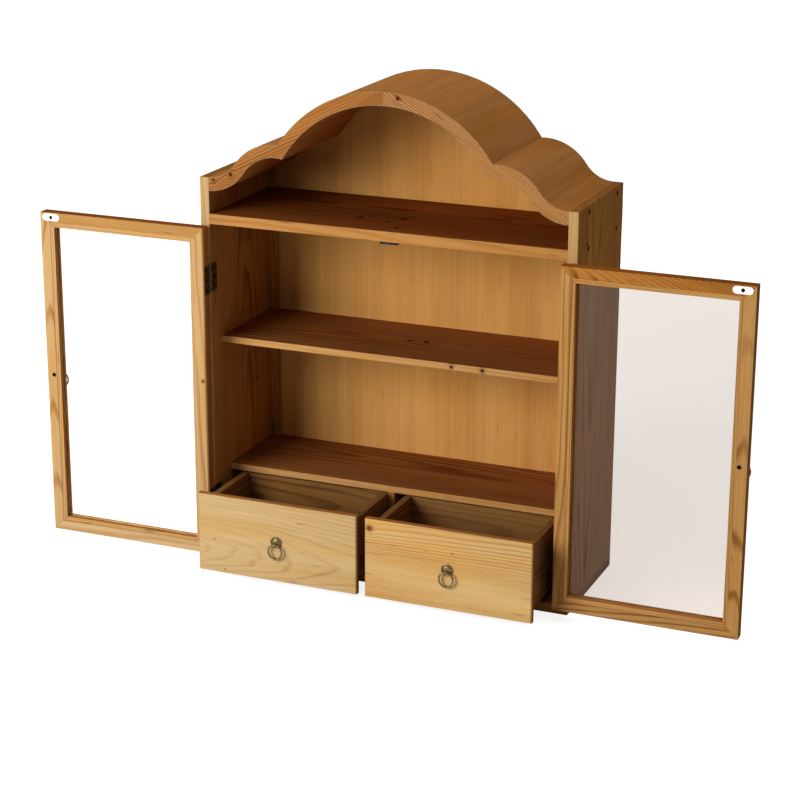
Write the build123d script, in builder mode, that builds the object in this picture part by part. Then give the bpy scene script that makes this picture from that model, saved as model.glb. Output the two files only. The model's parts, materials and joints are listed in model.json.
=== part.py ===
from build123d import *
from math import hypot
import os

# Wall cabinet with a cloud-shaped roof, two glazed doors and two drawers.
# Millimetres, +Z up, -Y out of the cabinet's front. The origin is the centre of the underside.
# It is modelled as it stands open: both doors folded flat outwards, both drawers pulled out.

# Carcase boards
CASE_WIDTH = 500.0
CASE_DEPTH = 180.0
SIDE_THICK = 12.0
BOTTOM_THICK = 12.0
TOP_SHELF_Z = 455.0
TOP_SHELF_THICK = 13.0
MIDDLE_SHELF_Z = 291.6
LOWER_SHELF_Z = 110.8
SHELF_THICK = 8.8
MIDDLE_SETBACK = 28.0
LOWER_SETBACK = 45.0
HOUSING_DEPTH = 4.0
DIVIDER_THICK = 9.0
BACK_THICK = 4.0
BATTEN_WIDTH = 13.0
BATTEN_DEPTH = 6.0

# Cloud-shaped roof: a crown arc, a cusp at each side, then an ogee down to the eaves
ROOF_PEAK_Z = 639.7
CUSP_X = 141.5
CUSP_Z = 563.1
EAVES_Z = 514.8
BULGE_RADIUS = 66.7
SWEEP_RADIUS = 44.3
ROOF_THICK = 17.2
CUSP_SHIFT = 6.0
RADIUS_SHIFT = 14.7
SKIN_THICK = 0.8

# Doors
DOOR_THICK = 15.0
DOOR_FLOOR_GAP = 2.5
DOOR_TOP_GAP = 1.0
MEETING_GAP = 2.4
FRAME_WIDTH = 19.5
LIP_THICK = 5.0
RABBET_WIDTH = 6.0
GLASS_THICK = 2.0
GLASS_GAP = 0.5
BEAD_SET = 0.5
BEAD_SLIT = 0.1
EASED_EDGE = 0.6
HINGE_EDGE_CHAMFER = 1.5

# Butt hinges
PIN_INSIDE = 1.25
PIN_FORWARD = 3.65
DOOR_PAST_PIN = 0.25
PIN_RADIUS = 1.1
PIN_CLEARANCE = 0.05
KNUCKLE_RADIUS = 2.2
KNUCKLE_ROOM = 0.3
HINGE_LENGTH = 37.5
HINGE_END_DISTANCE = 51.0
KNUCKLES = 5
LEAF_THICK = 1.0
SIDE_LEAF_WIDTH = 17.0
DOOR_LEAF_WIDTH = 13.5
LEAF_SCREWS = 3
LEAF_SCREW_MARGIN = 6.0

# Drawers
DRAWER_OUT = 62.0
DRAWER_FRONT_THICK = 9.0
DRAWER_FRONT_HEIGHT = 105.2
DRAWER_FLOOR_GAP = 1.2
DRAWER_SWING_ROOM = 9.15
DRAWERS_GAP = 11.0
DRAWER_FRONT_CHAMFER = 1.5
BOX_INSET = 6.5
BOX_LENGTH = 117.0
BOX_HEIGHT = 86.0
BOX_WALL = 9.0
BOX_BOTTOM_THICK = 4.0
BOX_BOTTOM_RAISE = 5.0
GROOVE_DEPTH = 4.0
RUNNER_THICK = 10.6
RUNNER_LEDGE = 8.0
GUIDE_HEIGHT = 28.0
RUNNING_GAP = 0.2
GUIDE_GAP = 0.5

# Ring pulls
ROSETTE_RADIUS = 8.0
ROSETTE_RIM = 0.8
ROSETTE_DOME = 2.6
EYE_OUT = 4.6
EYE_DROP = 2.0
EYE_RADIUS = 2.3
EYE_WIDTH = 3.0
EYE_CLEARANCE = 0.3
NECK_RADIUS = 1.4
RING_RADIUS = 9.5
RING_WIRE_RADIUS = 1.0
RING_BEAD_RADIUS = 1.7
PULL_SHANK_RADIUS = 1.5
PULL_SHANK_LENGTH = 7.0
PULL_SCREW_HEAD_RADIUS = 2.5
PULL_SCREW_HEAD_HEIGHT = 1.0
DRAWER_PULL_RAISE = 53.3
DOOR_PULL_RAISE = 219.4
DOOR_PULL_INSET = 9.7

# Magnetic catch and its strike plates
CATCH_WIDTH = 22.5
CATCH_DEPTH = 12.5
CATCH_HEIGHT = 7.7
CATCH_PLATE_GAP = 0.3
POLE_PROUD = 0.2
POLE_THICK = 1.0
POLE_HEIGHT = 4.4
MAGNET_WIDTH = 6.0
MAGNET_LENGTH = 8.0
MAGNET_SPACING = 13.5
STRIKE_LENGTH = 24.4
STRIKE_HEIGHT = 9.1
STRIKE_THICK = 1.0
STRIKE_INSET = 16.0
STRIKE_DROP = 6.1

# Fasteners and hangers
SCREW_HEAD_RADIUS = 3.3
SCREW_HEAD_HEIGHT = 2.2
SCREW_RADIUS = 1.6
SCREW_LENGTH = 30.0
SMALL_HEAD_RADIUS = 2.4
SMALL_HEAD_HEIGHT = 1.2
SMALL_SCREW_RADIUS = 1.1
SMALL_SCREW_LENGTH = 9.0
SCREW_CLEARANCE = 0.05
OVERCUT = 1.0
FRONT_SCREW_INSET = 42.6
REAR_SCREW_INSET = 24.5
PLUG_RADIUS = 3.0
PLUG_LENGTH = 6.0
PLUG_Z = 324.9
HANGER_WIDTH = 12.0
HANGER_LENGTH = 44.0
HANGER_THICK = 1.5
HANGER_BELOW_EAVES = 40.0
HANGER_SCREW_SPACING = 32.0
KEYHOLE_HEAD_RADIUS = 4.0
KEYHOLE_SLOT_RADIUS = 2.1
KEYHOLE_RISE = 8.0
HANGER_POCKET_DEPTH = 6.0
HANGER_POCKET_MARGIN = 0.7

# Places worked out from the sizes above
HALF_WIDTH = CASE_WIDTH / 2
INSIDE = HALF_WIDTH - SIDE_THICK
FRONT = -CASE_DEPTH / 2
REAR = CASE_DEPTH / 2
BACK_FACE = REAR - BACK_THICK
BATTEN_FACE = BACK_FACE - BATTEN_DEPTH
TOP_SHELF_TOP = TOP_SHELF_Z + TOP_SHELF_THICK
MIDDLE_FRONT = FRONT + MIDDLE_SETBACK
LOWER_FRONT = FRONT + LOWER_SETBACK
PIN_X = INSIDE - PIN_INSIDE
PIN_Y = FRONT - PIN_FORWARD
DOOR_X = PIN_X - DOOR_PAST_PIN
DOOR_WIDTH = PIN_X + DOOR_PAST_PIN - MEETING_GAP / 2
DOOR_OUTER_FACE = PIN_Y - PIN_FORWARD
DOOR_INNER_FACE = DOOR_OUTER_FACE - DOOR_THICK
DOOR_Z = BOTTOM_THICK + DOOR_FLOOR_GAP
DOOR_HEIGHT = TOP_SHELF_Z - DOOR_TOP_GAP - DOOR_Z
RABBET_EDGE = FRAME_WIDTH - RABBET_WIDTH
HINGE_CENTRES = (DOOR_Z + HINGE_END_DISTANCE + HINGE_LENGTH / 2,
                 DOOR_Z + DOOR_HEIGHT - HINGE_END_DISTANCE - HINGE_LENGTH / 2)
DRAWER_Z = BOTTOM_THICK + DRAWER_FLOOR_GAP
DRAWER_INNER_END = DRAWERS_GAP / 2
DRAWER_OUTER_END = PIN_X - DRAWER_SWING_ROOM
DRAWER_BACK_FACE = FRONT - DRAWER_OUT
DRAWER_FRONT_FACE = DRAWER_BACK_FACE - DRAWER_FRONT_THICK
BOX_INNER = DRAWER_INNER_END + BOX_INSET
BOX_OUTER = DRAWER_OUTER_END - BOX_INSET
BOX_REAR = DRAWER_BACK_FACE + BOX_LENGTH
RUNNER_TOP = BOTTOM_THICK + RUNNER_THICK
BOX_Z = RUNNER_TOP + RUNNING_GAP
BOX_BOTTOM_Z = BOX_Z + BOX_BOTTOM_RAISE
DIVIDER_X = -BOX_INNER + GUIDE_GAP
SIDES = ((-1, "left"), (1, "right"))


def save(piece, name):
    """Label a finished piece and write it to its own file."""
    piece.part.label = name
    export_step(piece.part, "parts/" + name + ".step")


def block(x0, x1, y0, y1, z0, z1, mode=Mode.ADD):
    """Add or cut a box between two corners."""
    with Locations(((x0 + x1) / 2, (y0 + y1) / 2, (z0 + z1) / 2)):
        Box(abs(x1 - x0), abs(y1 - y0), abs(z1 - z0), mode=mode)


def countersunk(places, length, head_radius, head_height, radius, mode=Mode.ADD):
    """Add screws whose flat heads lie in the given places, or cut the holes that they sit in."""
    spare = SCREW_CLEARANCE if mode == Mode.SUBTRACT else 0
    top = (Align.CENTER, Align.CENTER, Align.MAX)
    with Locations(*places):
        Cylinder(radius + spare, length + spare, align=top, mode=mode)
        Cone(radius + spare, head_radius + spare, head_height, align=top, mode=mode)


def large_screws(places, mode=Mode.ADD):
    """Add or make room for the screws that hold the boards."""
    countersunk(places, SCREW_LENGTH, SCREW_HEAD_RADIUS, SCREW_HEAD_HEIGHT, SCREW_RADIUS, mode)


def small_screws(places, mode=Mode.ADD):
    """Add or make room for the screws of the hinges, hangers, catch and strike plates."""
    countersunk(places, SMALL_SCREW_LENGTH, SMALL_HEAD_RADIUS, SMALL_HEAD_HEIGHT,
                SMALL_SCREW_RADIUS, mode)


def facing(x, y, z, direction):
    """A place on a surface, its normal along the direction."""
    return Plane(origin=(x, y, z), z_dir=direction).location


# Screw places
SIDE_SCREW_DEPTHS = (FRONT + FRONT_SCREW_INSET, REAR - REAR_SCREW_INSET)
ROOF_SCREW_Z = EAVES_Z - ROOF_THICK / 2
SHELF_SCREW_Z = TOP_SHELF_Z + TOP_SHELF_THICK / 2
HANGER_X = HALF_WIDTH - SIDE_THICK / 2
HANGER_Z = EAVES_Z - HANGER_BELOW_EAVES
KEYHOLE_Z = HANGER_Z - KEYHOLE_RISE / 2


def board_screw_places(side):
    """Two screws into the roof, two into the top shelf and two up through the bottom panel."""
    places = [facing(side * HALF_WIDTH, y, z, (side, 0, 0))
              for y in SIDE_SCREW_DEPTHS for z in (SHELF_SCREW_Z, ROOF_SCREW_Z)]
    places += [facing(side * HANGER_X, y, 0, (0, 0, -1)) for y in SIDE_SCREW_DEPTHS]
    return places


def hanger_screw_places(side):
    """Two screws through each hanger plate into the rear edge of the side panel."""
    return [facing(side * HANGER_X, REAR + HANGER_THICK, HANGER_Z + step, (0, 1, 0))
            for step in (-HANGER_SCREW_SPACING / 2, HANGER_SCREW_SPACING / 2)]


def plug_places(side):
    """Two plugs in the inner face of a side panel."""
    return [facing(side * INSIDE, y, PLUG_Z, (-side, 0, 0)) for y in SIDE_SCREW_DEPTHS]


def leaf_screw_heights(centre):
    """The heights of a hinge leaf's screws."""
    reach = HINGE_LENGTH / 2 - LEAF_SCREW_MARGIN
    return [centre + reach * (2 * count / (LEAF_SCREWS - 1) - 1) for count in range(LEAF_SCREWS)]


def side_leaf_screw_places(side):
    """The hinge screws in a side panel's inner face."""
    depth = FRONT + (SIDE_LEAF_WIDTH + KNUCKLE_RADIUS) / 2
    return [facing(side * INSIDE, depth, z, (-side, 0, 0))
            for centre in HINGE_CENTRES for z in leaf_screw_heights(centre)]


def door_leaf_screw_places(side):
    """The hinge screws in an open door's hinge edge."""
    depth = DOOR_OUTER_FACE - (DOOR_LEAF_WIDTH + KNUCKLE_RADIUS) / 2
    return [facing(side * DOOR_X, depth, z, (-side, 0, 0))
            for centre in HINGE_CENTRES for z in leaf_screw_heights(centre)]


STRIKE_Z = DOOR_Z + DOOR_HEIGHT - STRIKE_DROP


def strike_place(side, height):
    """The middle of a strike plate, at a height above the open door's inner face."""
    x = side * (DOOR_X + DOOR_WIDTH - STRIKE_INSET)
    return Plane(origin=(x, DOOR_INNER_FACE - height, STRIKE_Z), x_dir=(1, 0, 0), z_dir=(0, -1, 0)).location


def knuckle_band(centre, number, room=0.0):
    """The lower and upper height of one knuckle of a hinge, counted from below."""
    pitch = HINGE_LENGTH / KNUCKLES
    low = centre - HINGE_LENGTH / 2 + number * pitch
    gap = KNUCKLE_ROOM / 2 - room
    return low + gap, low + pitch - gap


def pin_cylinders(side, radius, bands, mode=Mode.ADD):
    """Add or cut a round bar on a door's pin line, once for each band of heights."""
    for low, high in bands:
        with Locations((side * PIN_X, PIN_Y, low)):
            Cylinder(radius, high - low, align=(Align.CENTER, Align.CENTER, Align.MIN), mode=mode)


def hinge_bands():
    """The heights of the two hinges of a door."""
    return [(centre - HINGE_LENGTH / 2, centre + HINGE_LENGTH / 2) for centre in HINGE_CENTRES]


# The magnetic catch stands behind the strike plates of the shut doors
CATCH_FRONT = FRONT + DOOR_THICK + STRIKE_THICK + CATCH_PLATE_GAP + POLE_PROUD
CATCH_LOW = TOP_SHELF_Z - CATCH_HEIGHT
CATCH_SCREW_PLACE = facing(0, CATCH_FRONT + CATCH_DEPTH / 2, CATCH_LOW, (0, 0, -1))


# Roof outline
def circle_crossing(first, first_radius, second, second_radius):
    """The upper crossing point of two circles, the second to the right of the first."""
    dx, dz = second[0] - first[0], second[1] - first[1]
    span = hypot(dx, dz)
    along = (first_radius ** 2 - second_radius ** 2 + span ** 2) / (2 * span)
    across = (max(first_radius ** 2 - along ** 2, 0)) ** 0.5
    return (first[0] + (along * dx - across * dz) / span,
            first[1] + (along * dz + across * dx) / span)


def arc_middle(centre, radius, start, end):
    """The middle point of a short arc from start to end."""
    mx, mz = (start[0] + end[0]) / 2 - centre[0], (start[1] + end[1]) / 2 - centre[1]
    scale = radius / hypot(mx, mz)
    return centre[0] + mx * scale, centre[1] + mz * scale


def roof_arcs(drop, inset):
    """Half of a roof line from the crown to the eaves, as three arcs.

    The line is the outer one, or, for a drop above 0, the inner one that lies that far below it.
    A positive inset moves it towards the cabinet's inside, all along its length.
    """
    inner = drop / ROOF_THICK
    cusp = (CUSP_X - CUSP_SHIFT * inner, CUSP_Z - drop)
    rise = ROOF_PEAK_Z - drop - cusp[1]
    crown_radius = (cusp[0] ** 2 + rise ** 2) / (2 * rise)
    crown = (0.0, ROOF_PEAK_Z - drop - crown_radius)
    bulge_radius = BULGE_RADIUS - RADIUS_SHIFT * inner
    sweep_radius = SWEEP_RADIUS + RADIUS_SHIFT * inner
    sweep = (INSIDE, EAVES_Z - drop + sweep_radius)
    low_centre = circle_crossing((cusp[0], -cusp[1]), bulge_radius,
                                 (sweep[0], -sweep[1]), bulge_radius + sweep_radius)
    bulge = (low_centre[0], -low_centre[1])
    crown_line, bulge_line, sweep_line = crown_radius - inset, bulge_radius - inset, sweep_radius + inset
    top = (0.0, crown[1] + crown_line)
    meeting = circle_crossing(crown, crown_line, bulge, bulge_line)
    share = bulge_line / (bulge_line + sweep_line)
    turn = (bulge[0] + (sweep[0] - bulge[0]) * share, bulge[1] + (sweep[1] - bulge[1]) * share)
    eaves = (sweep[0], sweep[1] - sweep_line)
    return [(top, arc_middle(crown, crown_line, top, meeting), meeting),
            (meeting, arc_middle(bulge, bulge_line, meeting, turn), turn),
            (turn, arc_middle(sweep, sweep_line, turn, eaves), eaves)]


def mirrored(point, side):
    """A point of the right half, or its mirror image."""
    return side * point[0], point[1]


def roof_curves(side, drop, inset):
    """Draw one half of a roof line and return its crown point."""
    arcs = roof_arcs(drop, inset)
    for start, middle, end in arcs:
        ThreePointArc(mirrored(start, side), mirrored(middle, side), mirrored(end, side))
    return arcs[0][0]


def roof_ends(drop, inset):
    """The heights of a roof line at the crown and at the eaves."""
    arcs = roof_arcs(drop, inset)
    return arcs[0][0][1], arcs[2][2][1]


def roof_half(side, upper, lower):
    """Draw the face between two roof lines, from the middle to the side panel."""
    upper_eaves, lower_eaves = roof_ends(*upper)[1], roof_ends(*lower)[1]
    with BuildLine() as outline:
        upper_crown = roof_curves(side, *upper)
        lower_crown = roof_curves(side, *lower)
        Line((side * INSIDE, upper_eaves), (side * INSIDE, lower_eaves))
        Line(upper_crown, lower_crown)
    make_face(outline.edges())


os.makedirs("parts", exist_ok=True)

# Side panels, with stopped housings for the two lower shelves
for side, word in SIDES:
    with BuildPart() as side_panel:
        block(side * INSIDE, side * HALF_WIDTH, FRONT, REAR, BOTTOM_THICK, EAVES_Z)
        for low, front in ((MIDDLE_SHELF_Z, MIDDLE_FRONT), (LOWER_SHELF_Z, LOWER_FRONT)):
            block(side * (INSIDE - OVERCUT), side * (INSIDE + HOUSING_DEPTH), front, BATTEN_FACE,
                  low, low + SHELF_THICK, Mode.SUBTRACT)
        pin_cylinders(side, KNUCKLE_RADIUS + KNUCKLE_ROOM, hinge_bands(), Mode.SUBTRACT)
        for low, high in hinge_bands():
            block(side * (INSIDE - OVERCUT), side * (INSIDE + LEAF_THICK), FRONT - OVERCUT,
                  FRONT + SIDE_LEAF_WIDTH, low, high, Mode.SUBTRACT)
        large_screws(board_screw_places(side), Mode.SUBTRACT)
        small_screws(side_leaf_screw_places(side), Mode.SUBTRACT)
        small_screws(hanger_screw_places(side), Mode.SUBTRACT)
        with Locations(*plug_places(side)):
            Cylinder(PLUG_RADIUS, PLUG_LENGTH, align=(Align.CENTER, Align.CENTER, Align.MAX),
                     mode=Mode.SUBTRACT)
        pocket = KEYHOLE_HEAD_RADIUS + HANGER_POCKET_MARGIN
        block(side * (HANGER_X - pocket), side * (HANGER_X + pocket), REAR - HANGER_POCKET_DEPTH,
              REAR + OVERCUT, KEYHOLE_Z - pocket, KEYHOLE_Z + KEYHOLE_RISE + KEYHOLE_SLOT_RADIUS,
              Mode.SUBTRACT)
    save(side_panel, word + "_side_panel")

with BuildPart() as bottom_panel:
    block(-HALF_WIDTH, HALF_WIDTH, FRONT, REAR, 0, BOTTOM_THICK)
    large_screws(board_screw_places(-1) + board_screw_places(1), Mode.SUBTRACT)
save(bottom_panel, "bottom_panel")

# Shelves, notched round the corner battens
with BuildPart() as top_shelf:
    block(-INSIDE, INSIDE, FRONT, BACK_FACE, TOP_SHELF_Z, TOP_SHELF_TOP)
    for side, word in SIDES:
        block(side * (INSIDE - BATTEN_WIDTH), side * (INSIDE + OVERCUT), BATTEN_FACE, BACK_FACE + OVERCUT,
              TOP_SHELF_Z - OVERCUT, TOP_SHELF_TOP + OVERCUT, Mode.SUBTRACT)
    large_screws(board_screw_places(-1) + board_screw_places(1), Mode.SUBTRACT)
    small_screws([CATCH_SCREW_PLACE], Mode.SUBTRACT)
save(top_shelf, "top_shelf")

LOW_SHELVES = (("middle_shelf", MIDDLE_SHELF_Z, MIDDLE_FRONT), ("lower_shelf", LOWER_SHELF_Z, LOWER_FRONT))
for name, low, front in LOW_SHELVES:
    with BuildPart() as shelf:
        block(-INSIDE - HOUSING_DEPTH, INSIDE + HOUSING_DEPTH, front, BACK_FACE, low, low + SHELF_THICK)
        for side, word in SIDES:
            block(side * (INSIDE - BATTEN_WIDTH), side * HALF_WIDTH, BATTEN_FACE, BACK_FACE + OVERCUT,
                  low - OVERCUT, low + SHELF_THICK + OVERCUT, Mode.SUBTRACT)
    save(shelf, name)

with BuildPart() as drawer_divider:
    block(DIVIDER_X, DIVIDER_X + DIVIDER_THICK, LOWER_FRONT, BACK_FACE, BOTTOM_THICK, LOWER_SHELF_Z)
save(drawer_divider, "drawer_divider")

# Corner battens behind the shelves, from the bottom panel up to the roof
roof_inside = roof_ends(ROOF_THICK, 0)[1]
for side, word in SIDES:
    with BuildPart() as batten:
        block(side * (INSIDE - BATTEN_WIDTH), side * INSIDE, BATTEN_FACE, BACK_FACE,
              BOTTOM_THICK, roof_inside)
    save(batten, word + "_rear_batten")

# Roof: two sawn blocks that butt at the middle, with a thin skin outside and inside
for side, word in SIDES:
    with BuildPart() as roof_block:
        with BuildSketch(Plane.XZ.offset(-REAR)):
            roof_half(side, (0, SKIN_THICK), (ROOF_THICK, -SKIN_THICK))
        extrude(amount=CASE_DEPTH)
        large_screws(board_screw_places(side), Mode.SUBTRACT)
    save(roof_block, word + "_roof_block")

with BuildPart() as roof_outer_skin:
    with BuildSketch(Plane.XZ.offset(-REAR)):
        for side, word in SIDES:
            roof_half(side, (0, 0), (0, SKIN_THICK))
    extrude(amount=CASE_DEPTH)
save(roof_outer_skin, "roof_outer_skin")

with BuildPart() as roof_inner_skin:
    with BuildSketch(Plane.XZ.offset(-REAR)):
        for side, word in SIDES:
            roof_half(side, (ROOF_THICK, -SKIN_THICK), (ROOF_THICK, 0))
    extrude(amount=CASE_DEPTH)
save(roof_inner_skin, "roof_inner_skin")

# Back panel between the sides, cut to the roof's inner line
with BuildPart() as back_panel:
    with BuildSketch(Plane.XZ.offset(-REAR)):
        for side, word in SIDES:
            with BuildLine():
                crown = roof_curves(side, ROOF_THICK, 0)
                Polyline((side * INSIDE, roof_inside), (side * INSIDE, BOTTOM_THICK),
                         (0, BOTTOM_THICK), crown)
            make_face()
    extrude(amount=BACK_THICK)
save(back_panel, "back_panel")

# Drawer runners: a ledge under each wall of the box, with a guide beside the walls
guide_top = BOTTOM_THICK + GUIDE_HEIGHT
for side, word in SIDES:
    with BuildPart() as runners:
        depth = (LOWER_FRONT, BATTEN_FACE)
        inner_edge = DIVIDER_X if side < 0 else DIVIDER_X + DIVIDER_THICK
        block(side * (BOX_OUTER - RUNNER_LEDGE), side * INSIDE, *depth, BOTTOM_THICK, RUNNER_TOP)
        block(side * (BOX_OUTER + GUIDE_GAP), side * INSIDE, *depth, BOTTOM_THICK, guide_top)
        block(inner_edge, side * (BOX_INNER + RUNNER_LEDGE), *depth, BOTTOM_THICK, RUNNER_TOP)
        if side > 0:
            block(inner_edge, BOX_INNER - GUIDE_GAP, *depth, BOTTOM_THICK, guide_top)
    save(runners, word + "_drawer_runners")

# Screws of the boards and hangers, and the wooden plugs
with BuildPart() as carcase_screws:
    for side, word in SIDES:
        large_screws(board_screw_places(side))
save(carcase_screws, "carcase_screws")

with BuildPart() as side_plugs:
    for side, word in SIDES:
        with Locations(*plug_places(side)):
            Cylinder(PLUG_RADIUS, PLUG_LENGTH, align=(Align.CENTER, Align.CENTER, Align.MAX))
save(side_plugs, "side_plugs")

# Keyhole hanger plates on the rear edges of the sides
with BuildPart() as hanger_plates:
    with BuildSketch(Plane.XZ.offset(-REAR)):
        with Locations((-HANGER_X, HANGER_Z), (HANGER_X, HANGER_Z)):
            RectangleRounded(HANGER_WIDTH, HANGER_LENGTH, HANGER_WIDTH / 3)
        with Locations((-HANGER_X, KEYHOLE_Z), (HANGER_X, KEYHOLE_Z)):
            Circle(KEYHOLE_HEAD_RADIUS, mode=Mode.SUBTRACT)
        with Locations((-HANGER_X, KEYHOLE_Z + KEYHOLE_RISE / 2), (HANGER_X, KEYHOLE_Z + KEYHOLE_RISE / 2)):
            SlotCenterToCenter(KEYHOLE_RISE, 2 * KEYHOLE_SLOT_RADIUS, rotation=90, mode=Mode.SUBTRACT)
    extrude(amount=-HANGER_THICK)
    small_screws(hanger_screw_places(-1) + hanger_screw_places(1), Mode.SUBTRACT)
save(hanger_plates, "wall_hanger_plates")

# Double magnetic catch under the top shelf
magnet_low = CATCH_LOW + (CATCH_HEIGHT - POLE_HEIGHT) / 2
magnet_top = magnet_low + POLE_HEIGHT
magnet_rear = CATCH_FRONT + MAGNET_LENGTH
with BuildPart() as catch_case:
    block(-CATCH_WIDTH / 2, CATCH_WIDTH / 2, CATCH_FRONT, CATCH_FRONT + CATCH_DEPTH, CATCH_LOW, TOP_SHELF_Z)
    chamfer(catch_case.edges().filter_by(Axis.Z), length=EASED_EDGE)
    for side, word in SIDES:
        middle = side * MAGNET_SPACING / 2
        block(middle - MAGNET_WIDTH / 2, middle + MAGNET_WIDTH / 2, CATCH_FRONT - OVERCUT, magnet_rear,
              magnet_low, magnet_top, Mode.SUBTRACT)
    small_screws([CATCH_SCREW_PLACE], Mode.SUBTRACT)
save(catch_case, "catch_case")

# Each magnet lies between two steel pole plates that stand a little out of the case
with BuildPart() as catch_magnets:
    for side, word in SIDES:
        middle = side * MAGNET_SPACING / 2
        core = MAGNET_WIDTH / 2 - POLE_THICK
        block(middle - core, middle + core, CATCH_FRONT, magnet_rear, magnet_low, magnet_top)
save(catch_magnets, "catch_magnets")

with BuildPart() as catch_poles:
    for side, word in SIDES:
        middle = side * MAGNET_SPACING / 2
        for edge in (-1, 1):
            block(middle + edge * (MAGNET_WIDTH / 2 - POLE_THICK), middle + edge * MAGNET_WIDTH / 2,
                  CATCH_FRONT - POLE_PROUD, magnet_rear, magnet_low, magnet_top)
save(catch_poles, "catch_pole_plates")

# Hinge leaves let into the sides. Knuckles 0, 2 and 4 belong to them, 1 and 3 to the door leaves
side_knuckles = range(0, KNUCKLES, 2)
door_knuckles = range(1, KNUCKLES, 2)


def knuckle_bands(numbers, room=0.0):
    """The heights of the numbered knuckles of both hinges of a door."""
    return [knuckle_band(centre, number, room) for centre in HINGE_CENTRES for number in numbers]


def room_for_knuckles(side, numbers):
    """Clear a leaf where the other leaf's knuckles turn."""
    bands = knuckle_bands(numbers, KNUCKLE_ROOM)
    pin_cylinders(side, KNUCKLE_RADIUS + KNUCKLE_ROOM, bands, Mode.SUBTRACT)


def leaf_bores(side):
    """The pin's hole through the knuckles of both hinges of a door."""
    pin_cylinders(side, PIN_RADIUS + PIN_CLEARANCE, hinge_bands(), Mode.SUBTRACT)


with BuildPart() as side_leaves:
    for side, word in SIDES:
        for low, high in hinge_bands():
            block(side * INSIDE, side * (INSIDE + LEAF_THICK), PIN_Y, FRONT + SIDE_LEAF_WIDTH, low, high)
        room_for_knuckles(side, door_knuckles)
        pin_cylinders(side, KNUCKLE_RADIUS, knuckle_bands(side_knuckles))
        leaf_bores(side)
        small_screws(side_leaf_screw_places(side), Mode.SUBTRACT)
save(side_leaves, "side_hinge_leaves")

with BuildPart() as small_carcase_screws:
    for side, word in SIDES:
        small_screws(side_leaf_screw_places(side))
        small_screws(hanger_screw_places(side))
    small_screws([CATCH_SCREW_PLACE])
save(small_carcase_screws, "hinge_and_hanger_screws")

for side, word in SIDES:
    with BuildPart() as hinge_pins:
        pin_cylinders(side, PIN_RADIUS, hinge_bands())
    save(hinge_pins, word + "_hinge_pins")

for side, word in SIDES:
    with BuildPart() as door_leaves:
        for low, high in hinge_bands():
            block(side * DOOR_X, side * (DOOR_X + LEAF_THICK), PIN_Y, DOOR_OUTER_FACE - DOOR_LEAF_WIDTH,
                  low, high)
        room_for_knuckles(side, side_knuckles)
        pin_cylinders(side, KNUCKLE_RADIUS, knuckle_bands(door_knuckles))
        leaf_bores(side)
        small_screws(door_leaf_screw_places(side), Mode.SUBTRACT)
    save(door_leaves, word + "_door_hinge_leaves")


# Doors, folded flat outwards so that their inner faces look to the front
def frame_outline(member, width):
    """The corners of a mitred frame member, from the hinge edge and the door's foot."""
    far, top = DOOR_WIDTH, DOOR_HEIGHT
    outlines = {
        "hinge_stile": ((0, 0), (width, width), (width, top - width), (0, top)),
        "free_stile": ((far, 0), (far - width, width), (far - width, top - width), (far, top)),
        "bottom_rail": ((0, 0), (width, width), (far - width, width), (far, 0)),
        "top_rail": ((0, top), (width, top - width), (far - width, top - width), (far, top)),
    }
    return outlines[member]


def door_slab(side, outline, face, thickness):
    """Extrude an outline in the door's plane from a face towards the front."""
    points = [(side * (DOOR_X + across), DOOR_Z + up) for across, up in outline]
    with BuildSketch(Plane.XZ.offset(-face)) as slab:
        Polygon(*points, align=None)
    extrude(slab.sketch, amount=thickness)


def pull_face(side):
    """The place of a door's pull, on the face that is outside when the door is shut."""
    x = side * (DOOR_X + DOOR_WIDTH - DOOR_PULL_INSET)
    return Plane(origin=(x, DOOR_OUTER_FACE, DOOR_Z + DOOR_PULL_RAISE), x_dir=(-1, 0, 0), z_dir=(0, 1, 0))


def door_pull_screw(side, spare, mode):
    """The pan-headed screw that holds a door's pull from inside, or its hole."""
    place = pull_face(side)
    with Locations((place.origin.X, DOOR_INNER_FACE, place.origin.Z)):
        Cylinder(PULL_SHANK_RADIUS + spare, DOOR_THICK, rotation=(90, 0, 0),
                 align=(Align.CENTER, Align.CENTER, Align.MAX), mode=mode)
        if mode == Mode.ADD:
            Cylinder(PULL_SCREW_HEAD_RADIUS, PULL_SCREW_HEAD_HEIGHT, rotation=(90, 0, 0),
                     align=(Align.CENTER, Align.CENTER, Align.MIN))


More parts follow.
